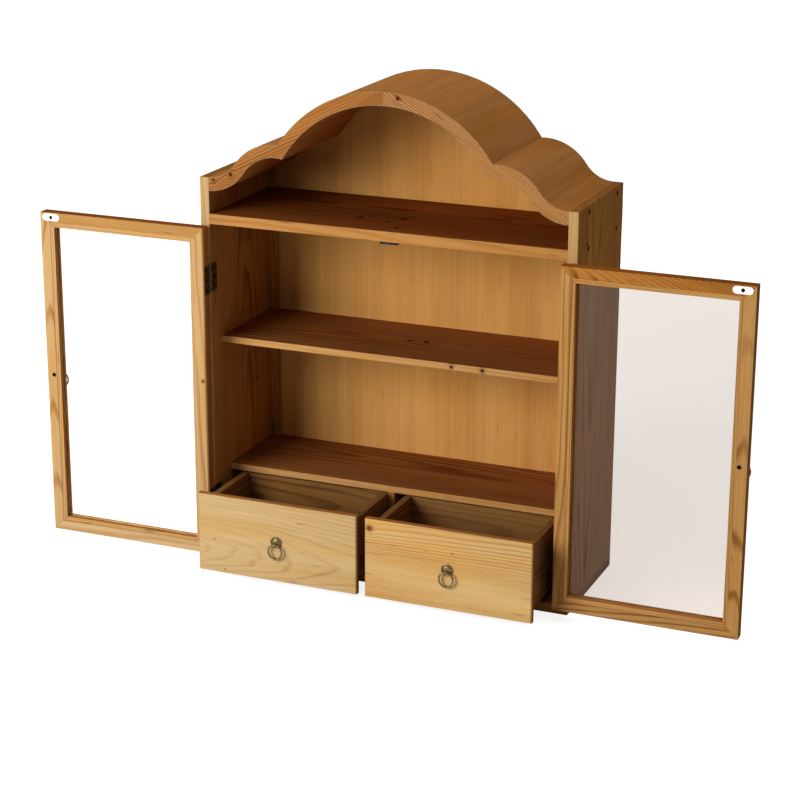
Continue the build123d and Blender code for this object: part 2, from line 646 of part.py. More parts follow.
FRAME_MEMBERS = ("hinge_stile", "free_stile", "bottom_rail", "top_rail")
for side, word in SIDES:
    for member in FRAME_MEMBERS:
        with BuildPart() as frame_member:
            door_slab(side, frame_outline(member, FRAME_WIDTH), DOOR_OUTER_FACE, LIP_THICK)
            door_slab(side, frame_outline(member, RABBET_EDGE), DOOR_OUTER_FACE - LIP_THICK,
                      DOOR_THICK - LIP_THICK)
            if member == "hinge_stile":
                for low, high in hinge_bands():
                    block(side * (DOOR_X - OVERCUT), side * (DOOR_X + LEAF_THICK), DOOR_OUTER_FACE + OVERCUT,
                          DOOR_OUTER_FACE - DOOR_LEAF_WIDTH, low, high, Mode.SUBTRACT)
                pin_cylinders(side, KNUCKLE_RADIUS + KNUCKLE_ROOM, hinge_bands(), Mode.SUBTRACT)
                small_screws(door_leaf_screw_places(side), Mode.SUBTRACT)
                with BuildSketch(Plane.XY.offset(DOOR_Z)):
                    with BuildLine():
                        Polyline((side * DOOR_X, DOOR_INNER_FACE),
                                 (side * (DOOR_X + HINGE_EDGE_CHAMFER), DOOR_INNER_FACE),
                                 (side * DOOR_X, DOOR_INNER_FACE + HINGE_EDGE_CHAMFER), close=True)
                    make_face()
                extrude(amount=DOOR_HEIGHT, mode=Mode.SUBTRACT)
            if member == "free_stile":
                door_pull_screw(side, SCREW_CLEARANCE, Mode.SUBTRACT)
            if member == "top_rail":
                small_screws([strike_place(side, STRIKE_THICK)], Mode.SUBTRACT)
        save(frame_member, word + "_door_" + member)

    with BuildPart() as glass:
        low = RABBET_EDGE + GLASS_GAP
        far, top = DOOR_WIDTH - low, DOOR_HEIGHT - low
        outline = ((low, low), (far, low), (far, top), (low, top))
        door_slab(side, outline, DOOR_OUTER_FACE - LIP_THICK, GLASS_THICK)
    save(glass, word + "_door_glass")

    with BuildPart() as beads:
        bead_face = DOOR_OUTER_FACE - LIP_THICK - GLASS_THICK
        bead_depth = DOOR_THICK - LIP_THICK - GLASS_THICK - BEAD_SET
        near, far, slit = RABBET_EDGE, FRAME_WIDTH, BEAD_SLIT
        right, top = DOOR_WIDTH, DOOR_HEIGHT
        for outline in (
            ((near, near), (far, far), (far, top - far), (near, top - near)),
            ((right - near, near), (right - far, far), (right - far, top - far), (right - near, top - near)),
            ((near + slit, near), (far + slit, far), (right - far - slit, far), (right - near - slit, near)),
            ((near + slit, top - near), (far + slit, top - far),
             (right - far - slit, top - far), (right - near - slit, top - near)),
        ):
            door_slab(side, outline, bead_face, bead_depth)
    save(beads, word + "_door_beads")

    with BuildPart() as strike_plate:
        with BuildSketch(Plane(strike_place(side, 0))):
            SlotOverall(STRIKE_LENGTH, STRIKE_HEIGHT)
        extrude(amount=STRIKE_THICK)
        small_screws([strike_place(side, STRIKE_THICK)], Mode.SUBTRACT)
    save(strike_plate, word + "_strike_plate")

    with BuildPart() as door_screws:
        small_screws(door_leaf_screw_places(side))
        small_screws([strike_place(side, STRIKE_THICK)])
        door_pull_screw(side, 0, Mode.ADD)
    save(door_screws, word + "_door_screws")


# Ring pulls: a domed rosette with an eye, and a ring that hangs in the eye
def make_pull(face, shank, name):
    """Build a rosette on a plane whose normal points out of the wood."""
    profile_plane = Plane(origin=face.origin, x_dir=face.x_dir, z_dir=-face.y_dir)
    rise = ROSETTE_DOME - ROSETTE_RIM
    dome_radius = (ROSETTE_RADIUS ** 2 + rise ** 2) / (2 * rise)
    dome_middle = arc_middle((0, ROSETTE_DOME - dome_radius), dome_radius,
                             (ROSETTE_RADIUS, ROSETTE_RIM), (0, ROSETTE_DOME))
    with BuildPart(face) as pull:
        with BuildSketch(profile_plane):
            with BuildLine():
                Polyline((0, ROSETTE_DOME), (0, 0), (ROSETTE_RADIUS, 0), (ROSETTE_RADIUS, ROSETTE_RIM))
                ThreePointArc((ROSETTE_RADIUS, ROSETTE_RIM), dome_middle, (0, ROSETTE_DOME))
            make_face()
        revolve(axis=Axis(face.origin, face.z_dir))
        with Locations((0, -EYE_DROP, 0)):
            Cylinder(NECK_RADIUS, EYE_OUT, align=(Align.CENTER, Align.CENTER, Align.MIN))
        with Locations((0, -EYE_DROP, EYE_OUT)):
            Cylinder(EYE_RADIUS, EYE_WIDTH, rotation=(0, 90, 0))
            Cylinder(RING_WIRE_RADIUS + EYE_CLEARANCE, EYE_WIDTH + OVERCUT, rotation=(0, 90, 0),
                     mode=Mode.SUBTRACT)
        if shank > 0:
            Cylinder(PULL_SHANK_RADIUS, shank, align=(Align.CENTER, Align.CENTER, Align.MAX))
    save(pull, name)


def make_ring(face, name):
    """Build the ring that hangs straight down from a pull's eye, with a bead at its foot."""
    with BuildPart(face) as ring:
        with Locations((0, -EYE_DROP - RING_RADIUS, EYE_OUT)):
            Torus(RING_RADIUS, RING_WIRE_RADIUS)
        with Locations((0, -EYE_DROP - 2 * RING_RADIUS, EYE_OUT)):
            Sphere(RING_BEAD_RADIUS, rotation=(0, 90, 0))
    save(ring, name)


# Drawers, pulled out
for side, word in SIDES:
    x_inner, x_outer = side * BOX_INNER, side * BOX_OUTER
    wall_inner, wall_outer = side * (BOX_INNER + BOX_WALL), side * (BOX_OUTER - BOX_WALL)
    box_top = BOX_Z + BOX_HEIGHT
    back_wall_face = BOX_REAR - BOX_WALL
    bottom_top = BOX_BOTTOM_Z + BOX_BOTTOM_THICK
    drawer_face = Plane(origin=(side * (DRAWER_INNER_END + DRAWER_OUTER_END) / 2, DRAWER_FRONT_FACE,
                                DRAWER_Z + DRAWER_PULL_RAISE), x_dir=(1, 0, 0), z_dir=(0, -1, 0))
    groove = (side * (BOX_INNER + BOX_WALL - GROOVE_DEPTH), side * (BOX_OUTER - BOX_WALL + GROOVE_DEPTH),
              DRAWER_BACK_FACE, back_wall_face + GROOVE_DEPTH, BOX_BOTTOM_Z, bottom_top)

    with BuildPart() as drawer_front:
        block(side * DRAWER_INNER_END, side * DRAWER_OUTER_END, DRAWER_FRONT_FACE, DRAWER_BACK_FACE,
              DRAWER_Z, DRAWER_Z + DRAWER_FRONT_HEIGHT)
        chamfer(drawer_front.edges().filter_by(Axis.Z), length=DRAWER_FRONT_CHAMFER)
        chamfer(drawer_front.edges().filter_by(Axis.X), length=EASED_EDGE)
        with Locations((drawer_face.origin.X, DRAWER_FRONT_FACE, drawer_face.origin.Z)):
            Cylinder(PULL_SHANK_RADIUS + SCREW_CLEARANCE, PULL_SHANK_LENGTH, rotation=(90, 0, 0),
                     align=(Align.CENTER, Align.CENTER, Align.MAX), mode=Mode.SUBTRACT)
    save(drawer_front, word + "_drawer_front")

    with BuildPart() as drawer_sides:
        block(x_inner, wall_inner, DRAWER_BACK_FACE, BOX_REAR, BOX_Z, box_top)
        block(wall_outer, x_outer, DRAWER_BACK_FACE, BOX_REAR, BOX_Z, box_top)
        block(*groove, Mode.SUBTRACT)
    save(drawer_sides, word + "_drawer_sides")

    with BuildPart() as drawer_back:
        block(wall_inner, wall_outer, back_wall_face, BOX_REAR, BOX_Z, box_top)
        block(*groove, Mode.SUBTRACT)
    save(drawer_back, word + "_drawer_back")

    with BuildPart() as drawer_bottom:
        block(*groove)
    save(drawer_bottom, word + "_drawer_bottom")

    make_pull(drawer_face, PULL_SHANK_LENGTH, word + "_drawer_pull")
    make_ring(drawer_face, word + "_drawer_ring")
    make_pull(pull_face(side), 0, word + "_door_pull")
    make_ring(pull_face(side), word + "_door_ring")
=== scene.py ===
"""The looks of a wooden wall cabinet with a cloud-shaped roof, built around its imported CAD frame."""

import json
import math

import bmesh
import bpy
import numpy as np
from mathutils import Matrix, Vector

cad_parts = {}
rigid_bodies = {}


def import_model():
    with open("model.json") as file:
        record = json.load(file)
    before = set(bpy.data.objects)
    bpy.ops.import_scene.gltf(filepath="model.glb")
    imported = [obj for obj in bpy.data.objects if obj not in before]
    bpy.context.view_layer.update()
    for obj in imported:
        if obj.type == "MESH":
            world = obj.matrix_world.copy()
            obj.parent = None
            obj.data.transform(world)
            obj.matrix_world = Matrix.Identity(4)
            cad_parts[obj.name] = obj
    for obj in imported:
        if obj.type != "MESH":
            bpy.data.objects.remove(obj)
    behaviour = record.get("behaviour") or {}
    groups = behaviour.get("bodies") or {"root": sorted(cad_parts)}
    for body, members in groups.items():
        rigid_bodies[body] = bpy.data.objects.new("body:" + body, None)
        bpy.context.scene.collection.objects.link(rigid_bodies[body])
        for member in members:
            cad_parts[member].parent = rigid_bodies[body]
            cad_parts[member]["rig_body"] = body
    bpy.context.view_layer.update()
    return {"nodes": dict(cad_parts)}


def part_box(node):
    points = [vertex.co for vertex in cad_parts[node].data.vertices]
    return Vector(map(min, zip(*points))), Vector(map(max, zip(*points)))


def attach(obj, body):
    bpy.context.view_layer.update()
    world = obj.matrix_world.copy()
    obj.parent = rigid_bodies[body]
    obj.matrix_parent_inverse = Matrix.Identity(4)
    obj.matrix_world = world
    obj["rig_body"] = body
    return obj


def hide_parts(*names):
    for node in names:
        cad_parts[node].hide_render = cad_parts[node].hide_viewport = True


bl_info = {
    "name": "Wall cabinet",
    "version": (1, 0, 0),
    "blender": (4, 5, 0),
    "location": "3D View > Sidebar > Cabinet",
    "description": "Finishes a wooden wall cabinet: timber, glass, bronze pulls and a plain studio",
    "category": "Object",
}

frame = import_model()

MM = 0.001
SIDES = ((-1, "left"), (1, "right"))
UP = (0.0, 0.0, 1.0)
WHITE = (1.0, 1.0, 1.0, 1.0)
BLACK = (0.0, 0.0, 0.0, 1.0)


def linear(code):
    """An sRGB colour such as #d2ac77 as linear red, green and blue, with a full alpha."""
    levels = [int(code[start:start + 2], 16) / 255 for start in (1, 3, 5)]
    return tuple(c / 12.92 if c <= 0.04045 else ((c + 0.055) / 1.055) ** 2.4 for c in levels) + (1.0,)


def colour(name, description, code):
    """A colour that a user may change."""
    return bpy.props.FloatVectorProperty(
        name=name, description=description, default=linear(code), size=4, min=0, max=1, subtype="COLOR")


def length(name, description, size, least=0.0):
    """A length that a user may change, given in millimetres and kept in metres."""
    return bpy.props.FloatProperty(
        name=name, description=description, default=size * MM, min=least, unit="LENGTH", precision=5)


class TimberSettings(bpy.types.PropertyGroup):
    """Colours and sizes of the cabinet's wood."""

    pine_light: colour("Pine", "Early wood of the stained pine", "#bd8448")
    pine_dark: colour("Pine rings", "Late wood of the stained pine", "#8a5526")
    left_light: colour("Left frame", "Early wood of the left door's frame", "#d3ad76")
    left_dark: colour("Left frame rings", "Late wood of the left door's frame", "#a66d3a")
    right_light: colour("Right frame", "Early wood of the right door's frame", "#d39f5e")
    right_dark: colour("Right frame rings", "Late wood of the right door's frame", "#94602c")
    pale_light: colour("Left drawer", "Early wood of the left drawer's front", "#d8b985")
    pale_dark: colour("Left drawer rings", "Late wood of the left drawer's front", "#bb8f58")
    front_light: colour("Right drawer", "Early wood of the right drawer's front", "#e6c184")
    front_dark: colour("Right drawer rings", "Late wood of the right drawer's front", "#b98549")
    box_light: colour("Drawer box", "Early wood of the drawer boxes", "#8d653a")
    box_dark: colour("Drawer box rings", "Late wood of the drawer boxes", "#5f3c1f")
    # The shelves' colours are painted darker than their edges' colours below: painted shade on their wide
    # faces
    shelf_light: colour("Shelf", "Early wood of the shelves", "#9b6236")
    shelf_dark: colour("Shelf rings", "Late wood of the shelves", "#693a17")
    roof_light: colour("Roof", "Early wood of the roof's sawn blocks", "#b9814a")
    roof_dark: colour("Roof rings", "Late wood of the roof's sawn blocks", "#7c4a22")
    ply_light: colour("Back", "Light bands of the plywood back", "#e0a85f")
    ply_dark: colour("Back bands", "Dark bands of the plywood back", "#b97839")
    lip_light: colour("Shelf edge", "Early wood of the shelves' planed front edges", "#cf9d62")
    lip_dark: colour("Shelf edge rings", "Late wood of the shelves' front edges", "#b48148")
    veneer_light: colour("Roof veneer", "Light bands of the roof's veneer", "#bf8248")
    veneer_dark: colour("Roof veneer bands", "Dark bands of the roof's veneer", "#8d5626")
    planed_light: colour("Side edge", "Early wood of the sides' planed front edges", "#d0ad7d")
    planed_dark: colour("Side edge rings", "Late wood of the sides' front edges", "#b08654")
    # These darker, redder colours on the side faces of door frames and drawer fronts are partly a deeper
    # stain and partly painted shade of the shaded reveals
    edge_light: colour("Edges", "Early wood of the edges of frames and drawer fronts", "#b0763f")
    edge_dark: colour("Edge rings", "Late wood of the edges of frames and drawer fronts", "#7f4b22")
    arris: length("Eased edge", "How much the boards' edges are eased", 0.5)


class FittingSettings(bpy.types.PropertyGroup):
    """Colours and sizes of the metal and plastic fittings."""

    bronze: colour("Bronze", "Brown body of the antique bronze", "#4a3d28")
    bronze_worn: colour("Worn bronze", "Rubbed high spots of the bronze", "#9a8558")
    hinge: colour("Hinge bronze", "Dark bronze of the hinges", "#2c2418")
    hinge_worn: colour("Worn hinge", "Rubbed knuckles and edges of the hinges", "#6a5b3e")
    oxide: colour("Black oxide", "Blackened steel of the screws", "#1b1816")
    steel: colour("Hanger steel", "Zinc plated hanger plates", "#b9b8b2")
    strike: colour("Strike plate", "Nickel plated strike plates", "#e4e2dd")
    black: colour("Black plastic", "Moulded case of the catch", "#1b1b1c")


class GlassSettings(bpy.types.PropertyGroup):
    """Look of the door panes."""

    clear_tint: colour("Left pane", "Tint of the clear pane", "#fbfdfc")
    warm_tint: colour("Right pane", "Tint of the slightly toned pane", "#d8d1cc")


class StageSettings(bpy.types.PropertyGroup):
    """Floor, lamps and backdrop."""

    floor: colour("Floor", "Colour of the plain floor", "#d2d0cd")
    key: bpy.props.FloatProperty(name="Key lamp", description="Power of the large soft lamp", default=46.0,
                                 min=0, unit="POWER")
    top: bpy.props.FloatProperty(name="Top lamp", description="Power of the soft lamp overhead", default=13.0,
                                 min=0, unit="POWER")
    fill: bpy.props.FloatProperty(name="Fill", description="Strength of the even light from all sides",
                                  default=0.15, min=0)


def settings(group):
    """The scene's own copy of a group of settings."""
    return getattr(bpy.context.scene, group)


def add(tree, kind, links=None, **options):
    """Add a node, set its options, and link its inputs to nodes or sockets or set them to values."""
    node = tree.nodes.new(kind)
    for name, value in options.items():
        setattr(node, name, value)
    for key, value in (links or {}).items():
        socket = node.inputs[key]
        if isinstance(value, bpy.types.Node):
            value = next(output for output in value.outputs if output.enabled)
        if isinstance(value, bpy.types.NodeSocket):
            tree.links.new(value, socket)
        else:
            socket.default_value = value
    return node


# Where a colour mix keeps its two colours and its result
MIX_FIRST = 6
MIX_SECOND = 7
MIX_RESULT = 2
# The vector operations whose result is a number
NUMBERS = ("LENGTH", "DOT_PRODUCT")


def own_node(tree, kind):
    """The node of a kind that the tree came with."""
    return next(node for node in tree.nodes if node.type == kind)


def maths(tree, operation, *values):
    """One operation on one to three numbers."""
    return add(tree, "ShaderNodeMath", dict(enumerate(values)), operation=operation).outputs[0]


def vectors(tree, operation, *values):
    """One operation on one to three vectors."""
    node = add(tree, "ShaderNodeVectorMath", dict(enumerate(values)), operation=operation)
    return node.outputs["Value" if operation in NUMBERS else "Vector"]


def ramp(tree, value, start, end, low=0.0, high=1.0, curve="LINEAR"):
    """A number that goes from low to high while the value goes from start to end, and then stays."""
    return add(tree, "ShaderNodeMapRange", {
        "Value": value, "From Min": start, "From Max": end, "To Min": low, "To Max": high},
        interpolation_type=curve).outputs["Result"]


def noise(tree, place, kind):
    """Cloudy noise of one kind, which is a set of a noise node's values."""
    return add(tree, "ShaderNodeTexNoise", {"Vector": place, **kind})


def mixed(tree, share, first, second):
    """The colour that lies at a share from 0 to 1 between two."""
    return add(tree, "ShaderNodeMix", {0: share, MIX_FIRST: first, MIX_SECOND: second},
               data_type="RGBA").outputs[MIX_RESULT]


def new_material(name, shader):
    """A material whose Principled shader has the given values on its own sockets."""
    material = bpy.data.materials.new(name)
    material.use_nodes = True
    tree = material.node_tree
    surface = own_node(tree, "BSDF_PRINCIPLED")
    for key, value in shader.items():
        surface.inputs[key].default_value = value
    return material, tree, surface


def finish_surface(tree, surface, tint, roughness, height, strength, depth):
    """Link a colour, a roughness and a relief of a given depth in metres to a shader. None is left out."""
    bump = add(tree, "ShaderNodeBump", {"Height": height, "Strength": strength, "Distance": depth})
    for name, socket in (("Base Color", tint), ("Roughness", roughness), ("Normal", bump.outputs[0])):
        if socket is not None:
            tree.links.new(socket, surface.inputs[name])


def new_object(name, data):
    """A new object in the scene."""
    item = bpy.data.objects.new(name, data)
    bpy.context.scene.collection.objects.link(item)
    return item


def give(objects, material):
    """Put one material on objects, in every slot that they have."""
    for item in objects:
        if not item.data.materials:
            item.data.materials.append(material)
        for slot in item.material_slots:
            slot.link = "OBJECT"
            slot.material = material


# The turn that takes a texture's first axis to the grain of a board, and the grain's direction
GRAIN_TURNS = {"X": (0.0, 0.0, 0.0), "Y": (0.0, 0.0, math.pi / 2), "Z": (0.0, -math.pi / 2, 0.0)}
GRAIN_LINES = {"X": (1.0, 0.0, 0.0), "Y": (0.0, 1.0, 0.0), "Z": (0.0, 0.0, 1.0)}
ACROSS = (0.0, 1.0, 1.0)
# A place is squeezed this much along the grain, which draws noise out, and again for fibres and streaks
GRAIN_STRETCH = (0.13, 1.0, 1.0)
FIBRE_STRETCH = (0.16, 1.0, 1.0)
# How far one board's noise lies from the next one's
SEED_STEP = (0.37, 0.11, 0.23)

# The noises that draw wood: the rings' wandering, its fibres, streaks and broad tones, warm patches and dots
WANDER_NOISE = {"Scale": 16.0, "Detail": 3.0, "Roughness": 0.45}
FIBRE_NOISE = {"Scale": 520.0, "Detail": 2.0, "Roughness": 0.6}
STREAK_NOISE = {"Scale": 90.0, "Detail": 2.0, "Roughness": 0.55}
TONE_NOISE = {"Scale": 22.0, "Detail": 2.0, "Roughness": 0.5}
PATCH_NOISE = {"Scale": 34.0, "Detail": 2.0}
DOT_NOISE = {"Scale": 150.0, "Detail": 1.0}
NOISE_MIDDLE = (0.5, 0.5, 0.5)
# The noise stays near its middle, so its swing is made this much wider
WANDER_GAIN = 4.0
# How much each noise darkens the wood, and the level that is taken off again
FIBRE_SHARE = 0.5
STREAK_SHARE = 0.6
TONE_SHARE = 0.55
SHARE_BASE = -0.55
SHARE_PER_CONTRAST = -0.15
# Where in a ring's width the late wood is full, and where it starts to end
LATE_FULL = 0.86
LATE_END = 0.88
# Tones in this range bring the rings from their faintest share up to full strength
TONE_RANGE = (0.3, 0.7)
FAINTEST = 0.25
# Noise in these ranges brings in the warm patches and the dots
GLOW_RANGE = (0.42, 0.68)
DOT_RANGE = (0.69, 0.78)
# How squarely a face looks to the front for the edges' colours, or along the grain for end grain. The darker
# colours on the other faces are painted shade on shelves, door frames and drawer fronts
LIP_RANGE = (0.5, 0.9)
END_RANGE = (0.75, 0.97)
END_SHARE = 0.45
# Warm wood keeps these shares of its green and blue
WARM_GREEN = 0.82
WARM_BLUE = 0.5
# End grain and dots keep this share of the late wood's levels
DEEP = 0.55
# Roughness of early and late wood, how much fibres add to the relief of rings, and that relief in metres
EARLY_ROUGH = 0.45
LATE_ROUGH = 0.62
FIBRE_RELIEF = 0.6
RELIEF_STRENGTH = 0.3
RELIEF_DEPTH = 0.12 * MM
# The power that turns the colour of late wood into that of a knot's core
KNOT_STAIN = 2.1
# A knot pushes the grain aside from half its size out to this many sizes, by this share of the way
KNOT_INNER = 0.5
KNOT_OUTER = 4.5
KNOT_PUSH = 0.72
# How far streaks make a knot's outline ragged, and where its core and its halo begin and end, in its sizes
KNOT_RAGGED = 0.9
KNOT_CORE = (1.05, 1.5)
KNOT_HALO = (1.1, 3.4)
CORE_SHARE = 0.9
HALO_SHARE = 0.45


def push_aside(tree, spot, knots):
    """Bend the grain round each knot. Gives the bent place, and each knot's distance and size."""
    marks = []
    for x, y, z, size in knots:
        away = vectors(tree, "SUBTRACT", spot, (x * MM, y * MM, z * MM))
        far = vectors(tree, "LENGTH", away)
        pull = ramp(tree, far, size * MM * KNOT_INNER, size * MM * KNOT_OUTER, -KNOT_PUSH, 0.0,
                    "SMOOTHERSTEP")
        spot = vectors(tree, "ADD", spot, vectors(tree, "MULTIPLY", away, pull))
        marks.append((far, size * MM))
    return spot, marks


def late_wood(tree, log_place, offset, ring, taper, wander, early):
    """A socket that is 1 in late wood and 0 in early wood.

    The log's first axis is its pith. The distance from the pith, plus a taper times the length along it,
    is cut into ring widths.
    """
    centred = vectors(tree, "SUBTRACT", noise(tree, offset, WANDER_NOISE).outputs["Color"], NOISE_MIDDLE)
    swing = WANDER_GAIN * wander * MM
    moved = vectors(tree, "MULTIPLY_ADD", centred, (0.0, swing, swing), log_place)
    along = add(tree, "ShaderNodeSeparateXYZ", {0: moved}).outputs["X"]
    radius = vectors(tree, "LENGTH", vectors(tree, "MULTIPLY", moved, ACROSS))
    cone = maths(tree, "MULTIPLY_ADD", along, taper, radius)
    phase = maths(tree, "FRACT", maths(tree, "DIVIDE", cone, ring * MM))
    rise = ramp(tree, phase, early, LATE_FULL, curve="SMOOTHSTEP")
    fall = ramp(tree, phase, LATE_END, 1.0, 1.0, 0.0, "SMOOTHSTEP")
    return maths(tree, "MULTIPLY", rise, fall)


def facing(tree, normal, line, start, end, most=1.0):
    """A socket that rises to most where the surface looks along a line, either way."""
    cosine = maths(tree, "ABSOLUTE", vectors(tree, "DOT_PRODUCT", normal, line))
    return ramp(tree, cosine, start, end, high=most)


def timber(name, light, dark, grain="X", pith=(0, 0, 0), ring=3.6, taper=0.02, wander=5.0, seed=0,
           turn=0.0, early=0.4, contrast=0.75, warmth=0.55, flecks=0.5, knots=(), lip=None, heart=None):
    """Sawn and stained wood with a matt oil finish, drawn through the solid board.

    Rings are cones about the pith, a line beside the board along its grain. Each goes slowly from light
    early wood to dark late wood, which begins after the given early share, and back at once. Noise drawn
    out along the grain makes the rings wander, adds fibres and broad tones, and knots push the grain
    aside. The late wood stands a little proud. The lip is a pair of colours for the faces that look to
    the front or the rear, and a knot's core is the heart's colour, deepened. Lengths are in millimetres,
    pith and knots in the cabinet's frame.
    """
    material, tree, surface = new_material(name, {"IOR": 1.5, "Specular IOR Level": 0.0})
    place = add(tree, "ShaderNodeTexCoord")
    normal = place.outputs["Normal"]
    spot, marks = push_aside(tree, place.outputs["Object"], knots)
    tilt = GRAIN_TURNS[grain]
    log_place = add(tree, "ShaderNodeMapping", {
        "Vector": spot, "Location": [p * MM for p in pith],
        "Rotation": (tilt[0], tilt[1] + turn, tilt[2])}, vector_type="TEXTURE")
    offset = vectors(tree, "ADD", vectors(tree, "MULTIPLY", log_place, GRAIN_STRETCH),
                     [seed * step for step in SEED_STEP])
    late = late_wood(tree, log_place, offset, ring, taper, wander, early)
    thin = vectors(tree, "MULTIPLY", offset, FIBRE_STRETCH)
    fibres = noise(tree, thin, FIBRE_NOISE)
    streaks = noise(tree, thin, STREAK_NOISE)
    tones = noise(tree, offset, TONE_NOISE)
    ringed = maths(tree, "MULTIPLY", late, ramp(tree, tones, *TONE_RANGE, low=FAINTEST))
    share = maths(tree, "MULTIPLY_ADD", ringed, contrast, SHARE_BASE + SHARE_PER_CONTRAST * contrast)
    for cloud, weight in ((fibres, FIBRE_SHARE), (streaks, STREAK_SHARE), (tones, TONE_SHARE)):
        share = maths(tree, "MULTIPLY_ADD", cloud, weight, share)
    share = add(tree, "ShaderNodeClamp", {"Value": share}).outputs[0]
    glow = ramp(tree, noise(tree, offset, PATCH_NOISE), *GLOW_RANGE, high=warmth, curve="SMOOTHSTEP")
    tints = []
    for early_wood, late_wood_tint in ((light, dark), lip or (light, dark)):
        warm = (early_wood[0], early_wood[1] * WARM_GREEN, early_wood[2] * WARM_BLUE, 1.0)
        tints.append(mixed(tree, share, mixed(tree, glow, early_wood, warm), late_wood_tint))
    # Faces that look to the front or rear take the lip; the darker colours elsewhere are painted shade on
    # shelves, door frames and drawer fronts
    tint = mixed(tree, facing(tree, normal, GRAIN_LINES["Y"], *LIP_RANGE), *tints)
    axis = Vector(GRAIN_LINES[grain])
    axis.rotate(Matrix.Rotation(turn, 3, "Y"))
    deep = tuple(DEEP * level for level in dark[:3]) + (1.0,)
    tint = mixed(tree, facing(tree, normal, axis, *END_RANGE, END_SHARE), tint, deep)
    dots = noise(tree, offset, DOT_NOISE)
    tint = mixed(tree, ramp(tree, dots, *DOT_RANGE, high=flecks), tint, deep)
    core_tint = tuple(level ** KNOT_STAIN for level in heart or dark)
    for far, size in marks:
        ragged = maths(tree, "MULTIPLY_ADD", streaks, size * KNOT_RAGGED, far)
        core, halo = (ramp(tree, ragged, size * start, size * end, most, 0.0, "SMOOTHSTEP")
                      for (start, end), most in ((KNOT_CORE, CORE_SHARE), (KNOT_HALO, HALO_SHARE)))
        tint = mixed(tree, core, mixed(tree, halo, tint, dark), core_tint)
    roughness = ramp(tree, share, 0.0, 1.0, EARLY_ROUGH, LATE_ROUGH)
    relief = maths(tree, "MULTIPLY_ADD", fibres, FIBRE_RELIEF, late)
    finish_surface(tree, surface, tint, roughness, relief, RELIEF_STRENGTH, RELIEF_DEPTH)
    return material


# Points this near are one, and faces this flat to each other are one; edges sharper than this are eased
WELD = 0.005 * MM
FLAT_ANGLE = math.radians(0.6)
SHARP_ANGLE = math.radians(34)


def stand_in(node, suffix, points, faces):
    """A mesh in place of a CAD node, on the same body."""
    mesh = bpy.data.meshes.new(node + suffix)
    mesh.from_pydata(points, [], faces)
    mesh.shade_smooth()
    mesh.set_sharp_from_angle(angle=SHARP_ANGLE)
    piece = new_object(node + suffix, mesh)
    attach(piece, frame["nodes"][node]["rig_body"])
    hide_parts(node)
    return piece


def eased(node, width):
    """A board with eased edges: a bevelled copy of the CAD solid, with its flat faces joined."""
    work = bmesh.new()
    work.from_mesh(frame["nodes"][node].data)
    bmesh.ops.remove_doubles(work, verts=work.verts, dist=WELD)
    bmesh.ops.dissolve_limit(work, angle_limit=FLAT_ANGLE, verts=work.verts, edges=work.edges)
    work.verts.ensure_lookup_table()
    points = [tuple(vertex.co) for vertex in work.verts]
    faces = [[vertex.index for vertex in face.verts] for face in work.faces]
    work.free()
    board = stand_in(node, "_eased", points, faces)
    bevel = board.modifiers.new("Eased edges", "BEVEL")
    bevel.width = width
    bevel.segments = 2
    bevel.limit_method = "ANGLE"
    bevel.angle_limit = SHARP_ANGLE
    bevel.harden_normals = True
    return board


# Each kind of wood: its name, then the settings for its faces, its front and rear edges and its knots
WOODS = {
    # Pine with a honey stain under a matt finish: warm early wood between browner late wood
    "pine": ("Stained pine", "pine", None, None),
    # The sides' front and rear edges are paler than their faces
    "side": ("Stained pine side", "pine", "planed", None),
    # Door frames and drawer fronts take their own colours on front and rear faces and the darker edge colours
    # on side faces: partly a deeper stain, partly painted shade
    # The left door's frame is paler and yellower than the right one's
    "left": ("Pale pine rail", "edge", "left", "left"),
    "right": ("Honey pine rail", "edge", "right", "right"),
    # The left drawer's front is pale and quiet, the right one's yellower with many fine rings
    "pale": ("Pale pine front", "edge", "pale", "pale"),
    "front": ("Ringed pine front", "edge", "front", "front"),
    # The drawer boxes are dull brown inside
    "box": ("Brown pine box", "box", None, None),
    # Shelves: their wide faces are painted darker than their pale front edges, painted shade where the shelf
    # or roof above keeps light off the tops
    "shelf": ("Dark stained pine shelf", "shelf", "lip", None),
    # The roof's sawn edge has fine slanting rings and red-brown knots
    "roof": ("Sawn pine roof", "roof", None, "right"),
    # Rotary-cut plywood: fine upright bands, no strong rings
    "ply": ("Pine plywood", "ply", None, None),
    # Straight-grained veneer over and under the roof, whose front edge shows as a pale line
    "veneer": ("Roof veneer", "veneer", "planed", None),
}


def wood_colours(kind):
    """A kind of wood in the user's colours: its name, light, dark, pair for the edges and knot colour."""
    name, faces, edges, heart = WOODS[kind]
    tones = settings("timber")
    light, dark = (getattr(tones, faces + shade) for shade in ("_light", "_dark"))
    lip = [getattr(tones, edges + shade) for shade in ("_light", "_dark")] if edges else []
    return name, light, dark, lip, getattr(tones, heart + "_dark") if heart else None


def dress_board(node, slot, kind, width=None, pith=(0, 0, 0), stain=1.0, **grain):
    """Ease a board's edges and give it wood of its own, drawn about its own pith.

    The pith is given from the board's middle. A stain above 1 raises each colour level to that power,
    which makes the wood darker and richer.
    """
    low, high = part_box(node)
    middle = (low + high) / 2 / MM
    name, light, dark, lip, heart = wood_colours(kind)
    light, dark, *lip = (tuple(level ** stain for level in tone) for tone in (light, dark, *lip))
    wood = timber(name + ", " + node.replace("_", " "), light, dark, lip=lip, heart=heart,
                  pith=[m + a for m, a in zip(middle, pith)], **grain)
    board = eased(node, settings("timber").arris if width is None else width)
    give([board], wood)


class StepOperator:
    """What every step of the finish shares."""

    bl_options = {"REGISTER", "UNDO"}

    def execute(self, context):
        """Run the step. A mistake in it stops the script."""
        self.build()
        return {"FINISHED"}


